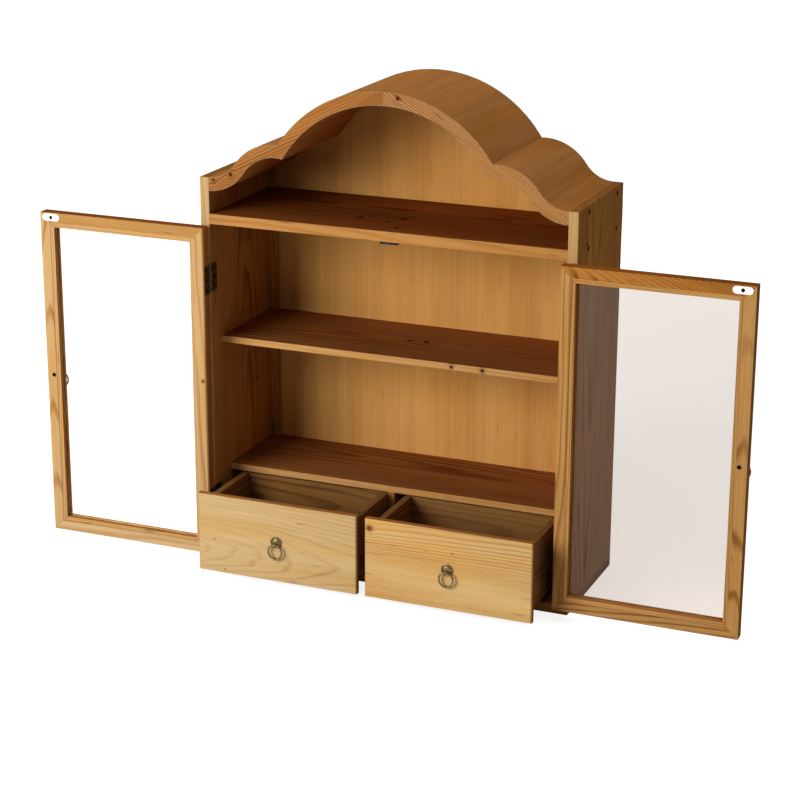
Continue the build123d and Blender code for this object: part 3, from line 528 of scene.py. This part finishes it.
class CABINET_OT_carcase(StepOperator, bpy.types.Operator):
    """Finish the sides, bottom, divider, battens and drawer runners."""

    bl_idname = "cabinet.carcase"
    bl_label = "Carcase boards"

    def build(self):
        """Each board gets grain along its length and its own place in the log."""
        dress_board("left_side_panel", "pine", "side", grain="Z", pith=(-64, 14, 0), ring=4.2, seed=1,
                    taper=0.03, knots=((-238, 40, 215, 3.0), (-250, 20, 150, 4.0)))
        dress_board("right_side_panel", "pine", "side", grain="Z", pith=(-70, -22, 0), ring=4.4, seed=2,
                    taper=-0.025, knots=((250, -55, 468, 2.5), (238, 30, 210, 4.0)))
        dress_board("bottom_panel", "pine", "pine", grain="X", pith=(0, 10, 60), ring=4.0, seed=3,
                    knots=((60, -90, 6, 3.0),))
        dress_board("drawer_divider", "pine", "pine", grain="Y", pith=(50, 0, 0), ring=3.5, seed=4)
        for side, word in SIDES:
            dress_board(word + "_rear_batten", "pine", "pine", grain="Z", pith=(side * 30, 40, 0),
                        ring=3.0, seed=5 + side)
            dress_board(word + "_drawer_runners", "pine", "pine", grain="Y", pith=(30, 0, -40), ring=3.0,
                        seed=8 + side)


class CABINET_OT_shelves(StepOperator, bpy.types.Operator):
    """Finish the three shelves, with paler front edges."""

    bl_idname = "cabinet.shelves"
    bl_label = "Shelves"

    def build(self):
        """Wide faces are dark and knotty, their darkness painted shade; the planed front edge is pale."""
        dress_board("top_shelf", "pine_board", "shelf", pith=(-20, 34, -55), ring=4.6, seed=11, stain=1.18,
                    knots=((-55, -31, 468, 4.0), (-1, -19, 468, 5.0), (-15, -40, 468, 2.4),
                           (8, -65, 468, 3.4)))
        dress_board("middle_shelf", "pine_board", "shelf", pith=(10, -12, -60), ring=4.2, seed=12,
                    knots=((-5, 12, 300, 3.5), (17, 14, 300, 4.5), (81, -62, 296, 2.4), (122, -62, 296, 2.6)))
        dress_board("lower_shelf", "pine_board", "shelf", pith=(0, 20, -70), ring=4.0, seed=13)


class CABINET_OT_roof(StepOperator, bpy.types.Operator):
    """Finish the two sawn roof blocks and the veneer over and under them."""

    bl_idname = "cabinet.roof"
    bl_label = "Roof"

    def build(self):
        """The blocks' grain runs down each half, the veneer's from front to back."""
        dress_board("left_roof_block", "pine", "roof", turn=-0.5, ring=2.0, seed=21, contrast=1.1,
                    stain=1.04, wander=6.0, pith=(0, 60, -160),
                    knots=((-231, -90, 512, 2.6), (-207, -90, 521, 3.2)))
        dress_board("right_roof_block", "pine", "roof", turn=0.5, ring=2.1, seed=22, contrast=1.4,
                    stain=0.86, wander=1.6, pith=(0, 60, -160), knots=((19, -90, 633, 3.0),))
        for node, seed in (("roof_outer_skin", 23), ("roof_inner_skin", 24)):
            dress_board(node, "veneer", "veneer", width=0.15 * MM, grain="Y", pith=(-900, 0, 60),
                        ring=2.4, taper=0.0, wander=3.0, contrast=0.45, flecks=0.25, seed=seed)


class CABINET_OT_back(StepOperator, bpy.types.Operator):
    """Finish the plywood back."""

    bl_idname = "cabinet.back"
    bl_label = "Back"

    def build(self):
        """Upright, fine, straight bands."""
        dress_board("back_panel", "plywood", "ply", grain="Z", pith=(-700, 80, 0), ring=3.3,
                    taper=0.001, wander=1.5, early=0.5, contrast=0.65, warmth=0.4, flecks=0.2, seed=31)


# Places and sizes of the left hinge stile's knots, read from the photograph
STILE_KNOTS = ((-255, -112, 284, 1.2), (-238, -100, 273, 1.3), (-241, -112, 252, 2.2), (-254, -112, 241, 1.4))


def lay_level_beads(beads):
    """Give the second material to the level beads.

    A face belongs to a level bead if its middle is nearer to the frame's top or bottom than to its
    sides, which parts the beads along their mitres.
    """
    faces = beads.data.polygons
    middles = np.empty(3 * len(faces))
    faces.foreach_get("center", middles)
    middles = middles.reshape(-1, 3)
    low, high = middles.min(axis=0), middles.max(axis=0)
    nearest = np.minimum(middles - low, high - middles)
    faces.foreach_set("material_index", (nearest[:, 2] < nearest[:, 0]).astype(np.int32))


class CABINET_OT_doors(StepOperator, bpy.types.Operator):
    """Finish the door frames and their glazing beads."""

    bl_idname = "cabinet.doors"
    bl_label = "Door frames"

    def build(self):
        """Stiles have upright grain, rails level grain, as cut for mitred corners."""
        for side, word in SIDES:
            seed = 45 + 5 * side
            knots = STILE_KNOTS if side < 0 else ()
            dress_board(word + "_door_hinge_stile", "pine", word, grain="Z", pith=(side * 22, 46, 0),
                        ring=3.6, seed=seed, knots=knots)
            dress_board(word + "_door_free_stile", "pine", word, grain="Z", pith=(side * -2, 30, 0),
                        ring=6.0, taper=0.06, early=0.7, seed=seed + 1, contrast=0.9)
            dress_board(word + "_door_bottom_rail", "pine", word, pith=(0, 50, 16), ring=3.6,
                        seed=seed + 2, stain=0.9 + 0.06 * side)
            dress_board(word + "_door_top_rail", "pine", word, pith=(0, 26, -30), ring=2.6, stain=1.4,
                        turn=0.12 * (side + 1), taper=0.1, contrast=0.8 + 0.3 * side, seed=seed + 3)
            name, light, dark, lip, heart = wood_colours(word)
            upright, level = (
                timber(name + ", " + way + " beads, " + word, light, dark, grain=axis, lip=lip, heart=heart,
                       pith=(side * 350, -50, 230), ring=3.4, seed=seed + 4)
                for way, axis in (("upright", "Z"), ("level", "X")))
            beads = eased(word + "_door_beads", 0.3 * MM)
            give([beads], upright)
            beads.data.materials.append(level)
            beads.material_slots[1].link = "OBJECT"
            beads.material_slots[1].material = level
            lay_level_beads(beads)


class CABINET_OT_drawers(StepOperator, bpy.types.Operator):
    """Finish the drawers' fronts and boxes."""

    bl_idname = "cabinet.drawers"
    bl_label = "Drawers"

    def build(self):
        """Fronts are flat-sawn, so their rings make wide flames; boxes are plain stock."""
        for side, word in SIDES:
            seed = 65 + 6 * side
            if side < 0:
                dress_board("left_drawer_front", "pine_drawer", "pale", pith=(20, 46, -22), ring=3.4,
                            taper=0.05, wander=6.0, early=0.66, contrast=0.55, seed=seed,
                            knots=((-205, -161, 58, 0.9), (-190, -161, 18, 1.0)))
            else:
                dress_board("right_drawer_front", "pine_drawer", "front", pith=(-60, 34, 60),
                            ring=2.6, wander=4.0, contrast=0.7, warmth=0.75, seed=seed, flecks=0.35,
                            knots=((12, -161, 106, 3.4), (88, -161, 87, 0.7), (123, -161, 89, 0.7)))
            dress_board(word + "_drawer_sides", "pine_drawer", "box", grain="Y",
                        pith=(60, 0, -20), ring=4.0, seed=seed + 1)
            dress_board(word + "_drawer_back", "pine_drawer", "box", pith=(0, -60, 10), ring=4.0,
                        seed=seed + 2)
            dress_board(word + "_drawer_bottom", "plywood", "box", pith=(0, 20, -80), ring=4.0,
                        seed=seed + 3)


# Below the index of plain glass, so that the wood behind a pane shows as clearly as in the photograph
PANE_INDEX = 1.3


def pane(name, tint):
    """Float glass: clear, smooth and faintly toned. Lamps shine through it, so it casts no dark shadow."""
    material, tree, surface = new_material(name, {
        "Base Color": tint, "Roughness": 0.01, "IOR": PANE_INDEX, "Transmission Weight": 1.0})
    path = add(tree, "ShaderNodeLightPath")
    clear = add(tree, "ShaderNodeBsdfTransparent", {"Color": tint})
    both = add(tree, "ShaderNodeMixShader", {0: path.outputs["Is Shadow Ray"], 1: surface, 2: clear})
    tree.links.new(both.outputs[0], own_node(tree, "OUTPUT_MATERIAL").inputs["Surface"])
    return material


class CABINET_OT_glass(StepOperator, bpy.types.Operator):
    """Glaze the doors."""

    bl_idname = "cabinet.glass"
    bl_label = "Glass"

    def build(self):
        """The left pane is clear, the right one slightly warm."""
        tints = settings("panes")
        for word, tint in (("left", tints.clear_tint), ("right", tints.warm_tint)):
            give([frame["nodes"][word + "_door_glass"]], pane("Float glass, " + word, tint))


# Noise in this range rubs metal bare, and how much rougher it is where it isn't
WEAR_RANGE = (0.42, 0.66)
PATINA_ROUGH = 0.14
# How much smoother and rougher than its middle value a matt moulding gets
SMOOTHER = 0.1
ROUGHER = 0.15


def worn_metal(name, body, rubbed, scale, roughness):
    """Plated or patinated metal: a dark body with rubbed patches, which are smoother, where noise is high."""
    material, tree, surface = new_material(name, {"Metallic": 1.0})
    place = add(tree, "ShaderNodeTexCoord").outputs["Object"]
    clouds = noise(tree, place, {"Scale": scale, "Detail": 4.0, "Roughness": 0.6})
    wear = ramp(tree, clouds, *WEAR_RANGE)
    dull = ramp(tree, wear, 0.0, 1.0, roughness + PATINA_ROUGH, roughness)
    finish_surface(tree, surface, mixed(tree, wear, body, rubbed), dull, clouds,
                   strength=0.2, depth=0.05 * MM)
    return material


def moulded(name, body, scale, roughness, gloss=0.3):
    """Plastic, ferrite or an oxide skin: one colour with a fine matt texture, as from a sparked mould."""
    material, tree, surface = new_material(name, {
        "Base Color": body, "IOR": 1.46, "Specular IOR Level": gloss})
    place = add(tree, "ShaderNodeTexCoord").outputs["Object"]
    grit = noise(tree, place, {"Scale": scale, "Detail": 2.0})
    dull = ramp(tree, grit, 0.0, 1.0, roughness - SMOOTHER, roughness + ROUGHER)
    finish_surface(tree, surface, None, dull, grit, strength=0.3, depth=0.03 * MM)
    return material


# Points once round a turned piece, once round a ring, and once round a ring's wire
TURN_STEPS = 40
LOOP_STEPS = 96
WIRE_STEPS = 16


def sheet_faces(rows, columns, first, closed):
    """Quads of a grid of points that is joined to itself along its rows and, if closed, along its columns."""
    row = np.arange(rows if closed else rows - 1)[:, None]
    column = np.arange(columns)[None, :]
    here, after = first + row * columns, first + (row + 1) % rows * columns
    beside = (column + 1) % columns
    quads = np.stack((here + column, after + column, after + beside, here + beside), axis=-1)
    return quads.reshape(-1, 4).tolist()


def circle(steps):
    """The angles of points that lie evenly once round."""
    return np.linspace(0, 2 * np.pi, steps, endpoint=False)


def turned(profile, centre, across, up, relief=None):
    """Points and faces of a turned solid.

    The profile is a list of radius and height from the upper pole to the lower one, in millimetres. It is
    turned once about the line through the centre that is square to across and up. Relief, if given, is a
    depth for each point of the grid that is taken off its height.
    """
    centre, across, up = (np.array(value, dtype=float) for value in (centre, across, up))
    out = np.cross(across, up)
    radius, height = np.array(profile, dtype=float).T
    angle = circle(TURN_STEPS)[None, :, None]
    rise = np.repeat(height[1:-1, None], TURN_STEPS, axis=1)
    if relief is not None:
        rise = rise - relief
    grid = (centre + radius[1:-1, None, None] * (np.cos(angle) * across + np.sin(angle) * up)
            + rise[:, :, None] * out).reshape(-1, 3)
    poles = np.array([centre + height[0] * out, centre + height[-1] * out])
    rows = len(profile) - 2
    faces = sheet_faces(rows, TURN_STEPS, 0, closed=False)
    near = np.arange(TURN_STEPS)
    beside = (near + 1) % TURN_STEPS
    last = (rows - 1) * TURN_STEPS
    top, foot = len(grid), len(grid) + 1
    faces += np.stack((np.full_like(near, top), near, beside), axis=-1).tolist()
    faces += np.stack((np.full_like(near, foot), last + beside, last + near), axis=-1).tolist()
    return np.vstack((grid, poles)), faces


def looped(centre, across, up, radius, thick, wide):
    """Points and faces of a ring in the plane of across and up, in millimetres.

    A flat or round wire goes once round the centre at the given radius. Thick and wide are half its
    section's sizes along the radius and along the ring's axis, each a number or one value for each step.
    """
    centre, across, up = (np.array(value, dtype=float) for value in (centre, across, up))
    axis = np.cross(across, up)
    turn = circle(LOOP_STEPS)[:, None, None]
    about = circle(WIRE_STEPS)[None, :, None]
    thick, wide = (np.broadcast_to(size, LOOP_STEPS)[:, None, None] for size in (thick, wide))
    outward = np.cos(turn) * across + np.sin(turn) * up
    grid = centre + (radius + thick * np.cos(about)) * outward + wide * np.sin(about) * axis
    return grid.reshape(-1, 3), sheet_faces(LOOP_STEPS, WIRE_STEPS, 0, closed=True)


def made(node, suffix, surfaces):
    """One object from closed surfaces in millimetres, in place of a CAD node."""
    points, faces, first = [], [], 0
    for surface, quads in surfaces:
        points.append(surface)
        faces += [[first + corner for corner in quad] for quad in quads]
        first += len(surface)
    return stand_in(node, suffix, (np.vstack(points) * MM).tolist(), faces)


# Sizes of a pull in millimetres, as in the CAD frame
ROSETTE = 8.0
EYE_DROP = 2.0
EYE_OUT = 4.6
EYE_HOLE = 1.3
EYE_EDGE = 2.3
EYE_HALF_WIDTH = 1.5
SHANK = 1.5
RING_WIRE = 1.2
RING_BEAD = 2.1
# The rosette's dome, then its half-round rim, as radii and heights in millimetres
DOME_RADIUS = 5.9
DOME_FOOT = 0.9
DOME_RISE = 2.1
DOME_STEPS = 10
RIM_MIDDLE = 6.95
RIM_HALF = 1.05
RIM_FOOT = 0.45
RIM_RISE = 0.85
RIM_ANGLES = np.radians(np.linspace(155, 0, 9))
# A CAD pull that goes back no further than this has no shank
LEAST_SHANK = 1.0
# The eye's neck: its own radius, that of its flared foot, and the foot's height, slope and sunk middle
NECK = 0.9
NECK_FLARE = 1.5
NECK_FOOT = 2.2
NECK_SLOPE = 0.6
NECK_SUNK = 0.4
# Where a ring's foot is, as an angle, and the collar beside its bead: height, distance and half width
FOOT_ANGLE = 1.5 * np.pi
COLLAR = 0.35
COLLAR_AWAY = 2.8
COLLAR_HALF = 0.5


def rosette(node, out):
    """A turned rosette with an eye, in place of a plain pull. Out is -1 for the front, 1 for the rear.

    From the middle out, the profile is half an ellipse as the dome, a groove, a half-round rim and the
    flat back, with a shank if the CAD pull has one. The eye is a flat ring on a short flared neck.
    """
    low, high = (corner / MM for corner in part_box(node))
    reach = EYE_OUT + EYE_EDGE
    face = low[1] + reach if out < 0 else high[1] - reach
    shank = (high[1] - low[1]) - reach
    middle = ((low[0] + high[0]) / 2, face, high[2] - ROSETTE)
    across = (-float(out), 0.0, 0.0)
    dome = np.linspace(0, DOME_RADIUS, DOME_STEPS)
    round_over = np.sqrt(np.clip(1 - (dome / DOME_RADIUS) ** 2, 0, 1))
    profile = list(zip(dome, DOME_FOOT + DOME_RISE * round_over))
    profile += list(zip(RIM_MIDDLE + RIM_HALF * np.cos(RIM_ANGLES), RIM_FOOT + RIM_RISE * np.sin(RIM_ANGLES)))
    profile += [(ROSETTE, 0.0)]
    if shank > LEAST_SHANK:
        profile += [(SHANK, 0.0), (SHANK, -shank), (0.0, -shank)]
    else:
        profile += [(0.0, 0.0)]
    lower = (middle[0], face, middle[2] - EYE_DROP)
    eye = (middle[0], face + out * EYE_OUT, middle[2] - EYE_DROP)
    half = (EYE_EDGE - EYE_HOLE) / 2
    top = EYE_OUT - EYE_HOLE - half
    neck = [(0.0, top), (NECK, top), (NECK, NECK_FOOT + NECK_SLOPE), (NECK_FLARE, NECK_FOOT),
            (0.0, NECK_FOOT - NECK_SUNK)]
    return made(node, "_turned", [
        turned(profile, middle, across, UP), turned(neck, lower, across, UP),
        looped(eye, (0.0, float(out), 0.0), UP, EYE_HOLE + half, half, EYE_HALF_WIDTH)])


def beaded_ring(node):
    """A hanging ring whose wire swells into a bead at its foot.

    The wire's half thickness is that of a ball round the foot, or the plain wire's where that is more,
    and a narrow bell curve either side adds a collar.
    """
    low, high = (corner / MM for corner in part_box(node))
    outer = (high[0] - low[0]) / 2
    radius = outer - RING_WIRE
    middle = ((low[0] + high[0]) / 2, (low[1] + high[1]) / 2, high[2] - outer)
    away = np.abs(circle(LOOP_STEPS) - FOOT_ANGLE) * radius
    ball = np.sqrt(np.clip(RING_BEAD ** 2 - away ** 2, 0, None))
    collar = COLLAR * np.exp(-((away - COLLAR_AWAY) / COLLAR_HALF) ** 2)
    wire = np.maximum(RING_WIRE, ball) + collar
    return made(node, "_beaded", [looped(middle, (1.0, 0.0, 0.0), UP, radius, wire, wire)])


def solids_of(mesh):
    """The points of each separate solid of a mesh, in millimetres.

    Points at one place count as one. Each starts with a label of its own, and joined points take the
    lower of their labels until none changes.
    """
    flat = np.empty(3 * len(mesh.vertices))
    mesh.vertices.foreach_get("co", flat)
    places, index = np.unique(np.round(flat.reshape(-1, 3) / MM, 4), axis=0, return_inverse=True)
    ends = np.empty(2 * len(mesh.edges), dtype=np.int32)
    mesh.edges.foreach_get("vertices", ends)
    first, second = index.reshape(-1)[ends].reshape(-1, 2).T
    labels = np.arange(len(places))
    settled = False
    while not settled:
        lower = np.minimum(labels[first], labels[second])
        fresh = labels.copy()
        np.minimum.at(fresh, first, lower)
        np.minimum.at(fresh, second, lower)
        settled = np.array_equal(fresh, labels)
        labels = fresh
    return [places[labels == label] for label in np.unique(labels)]


# A screw's cross recess, in shares of the head's radius: depth, each slot's half width and half length,
# the width of its slopes, and the rings of points on the head's top
RECESS_DEPTH = 0.32
SLOT_HALF_WIDTH = 0.17
SLOT_HALF_LENGTH = 0.56
SLOT_SLOPE = 0.09
HEAD_RINGS = np.array((0, 0.07, 0.14, 0.21, 0.28, 0.36, 0.44, 0.52, 0.6, 0.75))
# Points past this share of the head's radius lie on its rim
HEAD_RIM = 0.95


def cross_screws(node):
    """Screws with a cross recess, in place of the plain ones, with the same outline.

    A screw's axis is the one square to its two like sizes. Its outline is the set of radii and heights of
    its points, read from the head down. The recess is two crossed slots with sloping sides, cut into
    the head's flat top.
    """
    screws = []
    for points in solids_of(frame["nodes"][node].data):
        low, high = points.min(axis=0), points.max(axis=0)
        size = high - low
        axis = int(np.argmin(np.abs(np.roll(size, -1) - np.roll(size, -2))))
        middle = (low + high) / 2
        offset = points - middle
        offset[:, axis] = 0
        radii = np.linalg.norm(offset, axis=1)
        head = radii.max()
        wide = points[radii > HEAD_RIM * head, axis].mean()
        way = 1.0 if wide > middle[axis] else -1.0
        middle[axis] = high[axis] if way > 0 else low[axis]
        heights = (points[:, axis] - middle[axis]) * way
        outline = np.unique(np.round(np.stack((-heights, -radii), axis=1), 2), axis=0)
        across, up = np.roll(np.eye(3), -axis - 1, axis=0)[:2] * np.array([[1.0], [way]])
        rows = [(head * share, 0.0) for share in HEAD_RINGS]
        sides = [(-radius, -depth) for depth, radius in outline]
        profile = rows + sides + [(0.0, sides[-1][1])]
        angle = circle(TURN_STEPS)[None, :]
        reach = np.array([radius for radius, _ in profile[1:-1]])[:, None] / head
        one, two = np.abs(reach * np.cos(angle)), np.abs(reach * np.sin(angle))
        slots = [np.clip((SLOT_HALF_WIDTH - narrow) / SLOT_SLOPE, 0, 1)
                 * np.clip((SLOT_HALF_LENGTH - far) / SLOT_SLOPE, 0, 1)
                 for narrow, far in ((one, two), (two, one))]
        depth = RECESS_DEPTH * head * np.maximum(*slots)
        depth[len(rows) - 1:] = 0
        profile[0] = (0.0, -RECESS_DEPTH * head)
        screws.append(turned(profile, middle, across, up, relief=depth))
    return made(node, "_crossed", screws)


class CABINET_OT_fittings(StepOperator, bpy.types.Operator):
    """Finish the hinges, catch, strike plates, hangers, screws and plugs."""

    bl_idname = "cabinet.fittings"
    bl_label = "Fittings"

    def build(self):
        """Bronze, steel and plastic, each group in its own finish."""
        tones = settings("fittings")
        nodes = frame["nodes"]
        bronze = worn_metal("Antique bronze, brushed", tones.bronze, tones.bronze_worn,
                            scale=700.0, roughness=0.34)
        hinge = worn_metal("Dark bronze plate", tones.hinge, tones.hinge_worn, scale=500.0, roughness=0.42)
        oxide = moulded("Black oxide steel", tones.oxide, scale=2500.0, roughness=0.5, gloss=0.0)
        zinc = worn_metal("Zinc plated steel", tones.steel, tones.strike, scale=900.0, roughness=0.3)
        nickel = worn_metal("Nickel plated steel", tones.strike, tones.strike, scale=600.0, roughness=0.3)
        black = moulded("Black moulded plastic", tones.black, scale=3000.0, roughness=0.45)
        ferrite = moulded("Sintered ferrite", tones.black, scale=2000.0, roughness=0.6)
        names = ["side_hinge_leaves"]
        for _, word in SIDES:
            names += [word + "_hinge_pins", word + "_door_hinge_leaves"]
            give([cross_screws(word + "_door_screws")], oxide)
            give([rosette(word + "_drawer_pull", -1), rosette(word + "_door_pull", 1),
                  beaded_ring(word + "_drawer_ring"), beaded_ring(word + "_door_ring")], bronze)
        give([nodes[name] for name in names], hinge)
        give([cross_screws("carcase_screws"), cross_screws("hinge_and_hanger_screws"),
              nodes["catch_pole_plates"]], oxide)
        give([nodes["wall_hanger_plates"]], zinc)
        give([nodes["left_strike_plate"], nodes["right_strike_plate"]], nickel)
        give([nodes["catch_case"]], black)
        give([nodes["catch_magnets"]], ferrite)
        tones = settings("timber")
        plug = timber("Turned pine plug", tones.pale_light, tones.pale_dark, ring=1.5, pith=(0, 5, 300))
        give([nodes["side_plugs"]], plug)


# The camera, fitted to the photograph: place in metres, turns in radians, focal length in pixels
EYE = Vector((1.0112, -2.4886, 1.10005))
YAW = -0.3906
PITCH = -0.3153
ROLL = 0.0038
FOCAL_PIXELS = 2182.1
IMAGE_PIXELS = 800
SENSOR = 36.0
NEAREST = 0.05
FARTHEST = 60.0


def place_camera():
    """The camera looks along (sin yaw cos pitch, cos yaw cos pitch, sin pitch), rolled about that line."""
    forward = Vector((math.sin(YAW) * math.cos(PITCH), math.cos(YAW) * math.cos(PITCH), math.sin(PITCH)))
    level = Vector((math.cos(YAW), -math.sin(YAW), 0))
    upright = level.cross(forward)
    right = math.cos(ROLL) * level + math.sin(ROLL) * upright
    up = -math.sin(ROLL) * level + math.cos(ROLL) * upright
    camera = new_object("Camera", bpy.data.cameras.new("Camera"))
    camera.matrix_world = Matrix.Translation(EYE) @ Matrix((right, up, -forward)).transposed().to_4x4()
    camera.data.sensor_width = SENSOR
    camera.data.lens = FOCAL_PIXELS / IMAGE_PIXELS * SENSOR
    camera.data.clip_start = NEAREST
    camera.data.clip_end = FARTHEST
    bpy.context.scene.camera = camera


def place_lamp(name, spot, target, size, power):
    """A square soft lamp at a spot, turned to a target."""
    data = bpy.data.lights.new(name, "AREA")
    data.shape = "SQUARE"
    data.size = size
    data.energy = power
    lamp = new_object(name, data)
    lamp.location = spot
    lamp.rotation_euler = (Vector(target) - Vector(spot)).to_track_quat("-Z", "Y").to_euler()


def seen_white(tree):
    """A socket that is 1 for rays that see the backdrop: from the camera, off gloss or through glass."""
    path = add(tree, "ShaderNodeLightPath")
    first = maths(tree, "MAXIMUM", path.outputs["Is Camera Ray"], path.outputs["Is Glossy Ray"])
    return maths(tree, "MAXIMUM", first, path.outputs["Is Transmission Ray"])


# How bright the floor looks beside the cabinet before its own light is added, and how far off in metres
# it starts to rise and is plain white
NEAR_GLOW = 0.84
GLOW_START = 0.4
GLOW_END = 1.6
FLOOR_REACH = 12.0
# Place, aim and size of the two soft lamps in metres
KEY_PLACE = (-1.15, -1.88, 0.97)
KEY_AIM = (0, 0, 0.3)
KEY_SIZE = 1.25
TOP_PLACE = (0.5, 0.1, 2.2)
TOP_AIM = (0.1, 0, 0.6)
TOP_SIZE = 1.2


class CABINET_OT_stage(StepOperator, bpy.types.Operator):
    """Build the floor, backdrop, lamps and camera."""

    bl_idname = "cabinet.stage"
    bl_label = "Stage"

    def build(self):
        """A pale floor, a white backdrop, soft lamps at the front left and overhead, and even fill."""
        choice = settings("stage")
        corners = [(x * FLOOR_REACH, y * FLOOR_REACH, 0) for x, y in ((-1, -1), (1, -1), (1, 1), (-1, 1))]
        mesh = bpy.data.meshes.new("Floor")
        mesh.from_pydata(corners, [], [(0, 1, 2, 3)])
        floor = new_object("Floor", mesh)
        # Matt paper: it keeps a faint shadow by the cabinet and is plain white further off
        material, tree, surface = new_material("Matt paper floor", {
            "Base Color": choice.floor, "Roughness": 0.9, "Specular IOR Level": 0.0})
        seen = seen_white(tree)
        place = add(tree, "ShaderNodeTexCoord")
        far = vectors(tree, "LENGTH", place.outputs["Object"])
        rising = ramp(tree, far, GLOW_START, GLOW_END, low=NEAR_GLOW)
        glow = add(tree, "ShaderNodeEmission", {"Color": WHITE, "Strength": rising})
        dim = add(tree, "ShaderNodeEmission", {"Color": BLACK, "Strength": 0.0})
        lift = add(tree, "ShaderNodeMixShader", {0: seen, 1: dim, 2: glow})
        both = add(tree, "ShaderNodeAddShader", {0: surface, 1: lift})
        tree.links.new(both.outputs[0], own_node(tree, "OUTPUT_MATERIAL").inputs["Surface"])
        give([floor], material)
        world = bpy.data.worlds.new("White backdrop")
        bpy.context.scene.world = world
        world.use_nodes = True
        tree = world.node_tree
        sky = own_node(tree, "BACKGROUND")
        strength = ramp(tree, seen_white(tree), 0.0, 1.0, low=choice.fill)
        tree.links.new(strength, sky.inputs["Strength"])
        sky.inputs["Color"].default_value = WHITE
        place_lamp("Key lamp", KEY_PLACE, KEY_AIM, KEY_SIZE, choice.key)
        place_lamp("Top lamp", TOP_PLACE, TOP_AIM, TOP_SIZE, choice.top)
        place_camera()
        bpy.context.scene.view_settings.view_transform = "Standard"


class CABINET_PT_steps(bpy.types.Panel):
    """Lists the steps that finish the cabinet."""

    bl_idname = "CABINET_PT_steps"
    bl_label = "Wall cabinet"
    bl_space_type = "VIEW_3D"
    bl_region_type = "UI"
    bl_category = "Cabinet"

    def draw(self, context):
        """The settings, then a button for each step."""
        for group, kind in GROUPS:
            box = self.layout.box()
            for name in kind.__annotations__:
                box.prop(settings(group), name)
        for step in STEPS:
            self.layout.operator(step.bl_idname)


GROUPS = (("timber", TimberSettings), ("fittings", FittingSettings), ("panes", GlassSettings),
          ("stage", StageSettings))
STEPS = (CABINET_OT_carcase, CABINET_OT_shelves, CABINET_OT_roof, CABINET_OT_back, CABINET_OT_doors,
         CABINET_OT_drawers, CABINET_OT_glass, CABINET_OT_fittings, CABINET_OT_stage)


def register():
    """Add the settings, steps and panel to Blender."""
    for group, kind in GROUPS:
        bpy.utils.register_class(kind)
        setattr(bpy.types.Scene, group, bpy.props.PointerProperty(type=kind))
    for item in (*STEPS, CABINET_PT_steps):
        bpy.utils.register_class(item)


def unregister():
    """Take them out again."""
    for item in reversed((*STEPS, CABINET_PT_steps)):
        bpy.utils.unregister_class(item)
    for group, kind in reversed(GROUPS):
        delattr(bpy.types.Scene, group)
        bpy.utils.unregister_class(kind)


def main():
    """Run every step in order."""
    register()
    for step in STEPS:
        area, action = step.bl_idname.split(".")
        getattr(getattr(bpy.ops, area), action)()


if __name__ == "__main__":
    main()
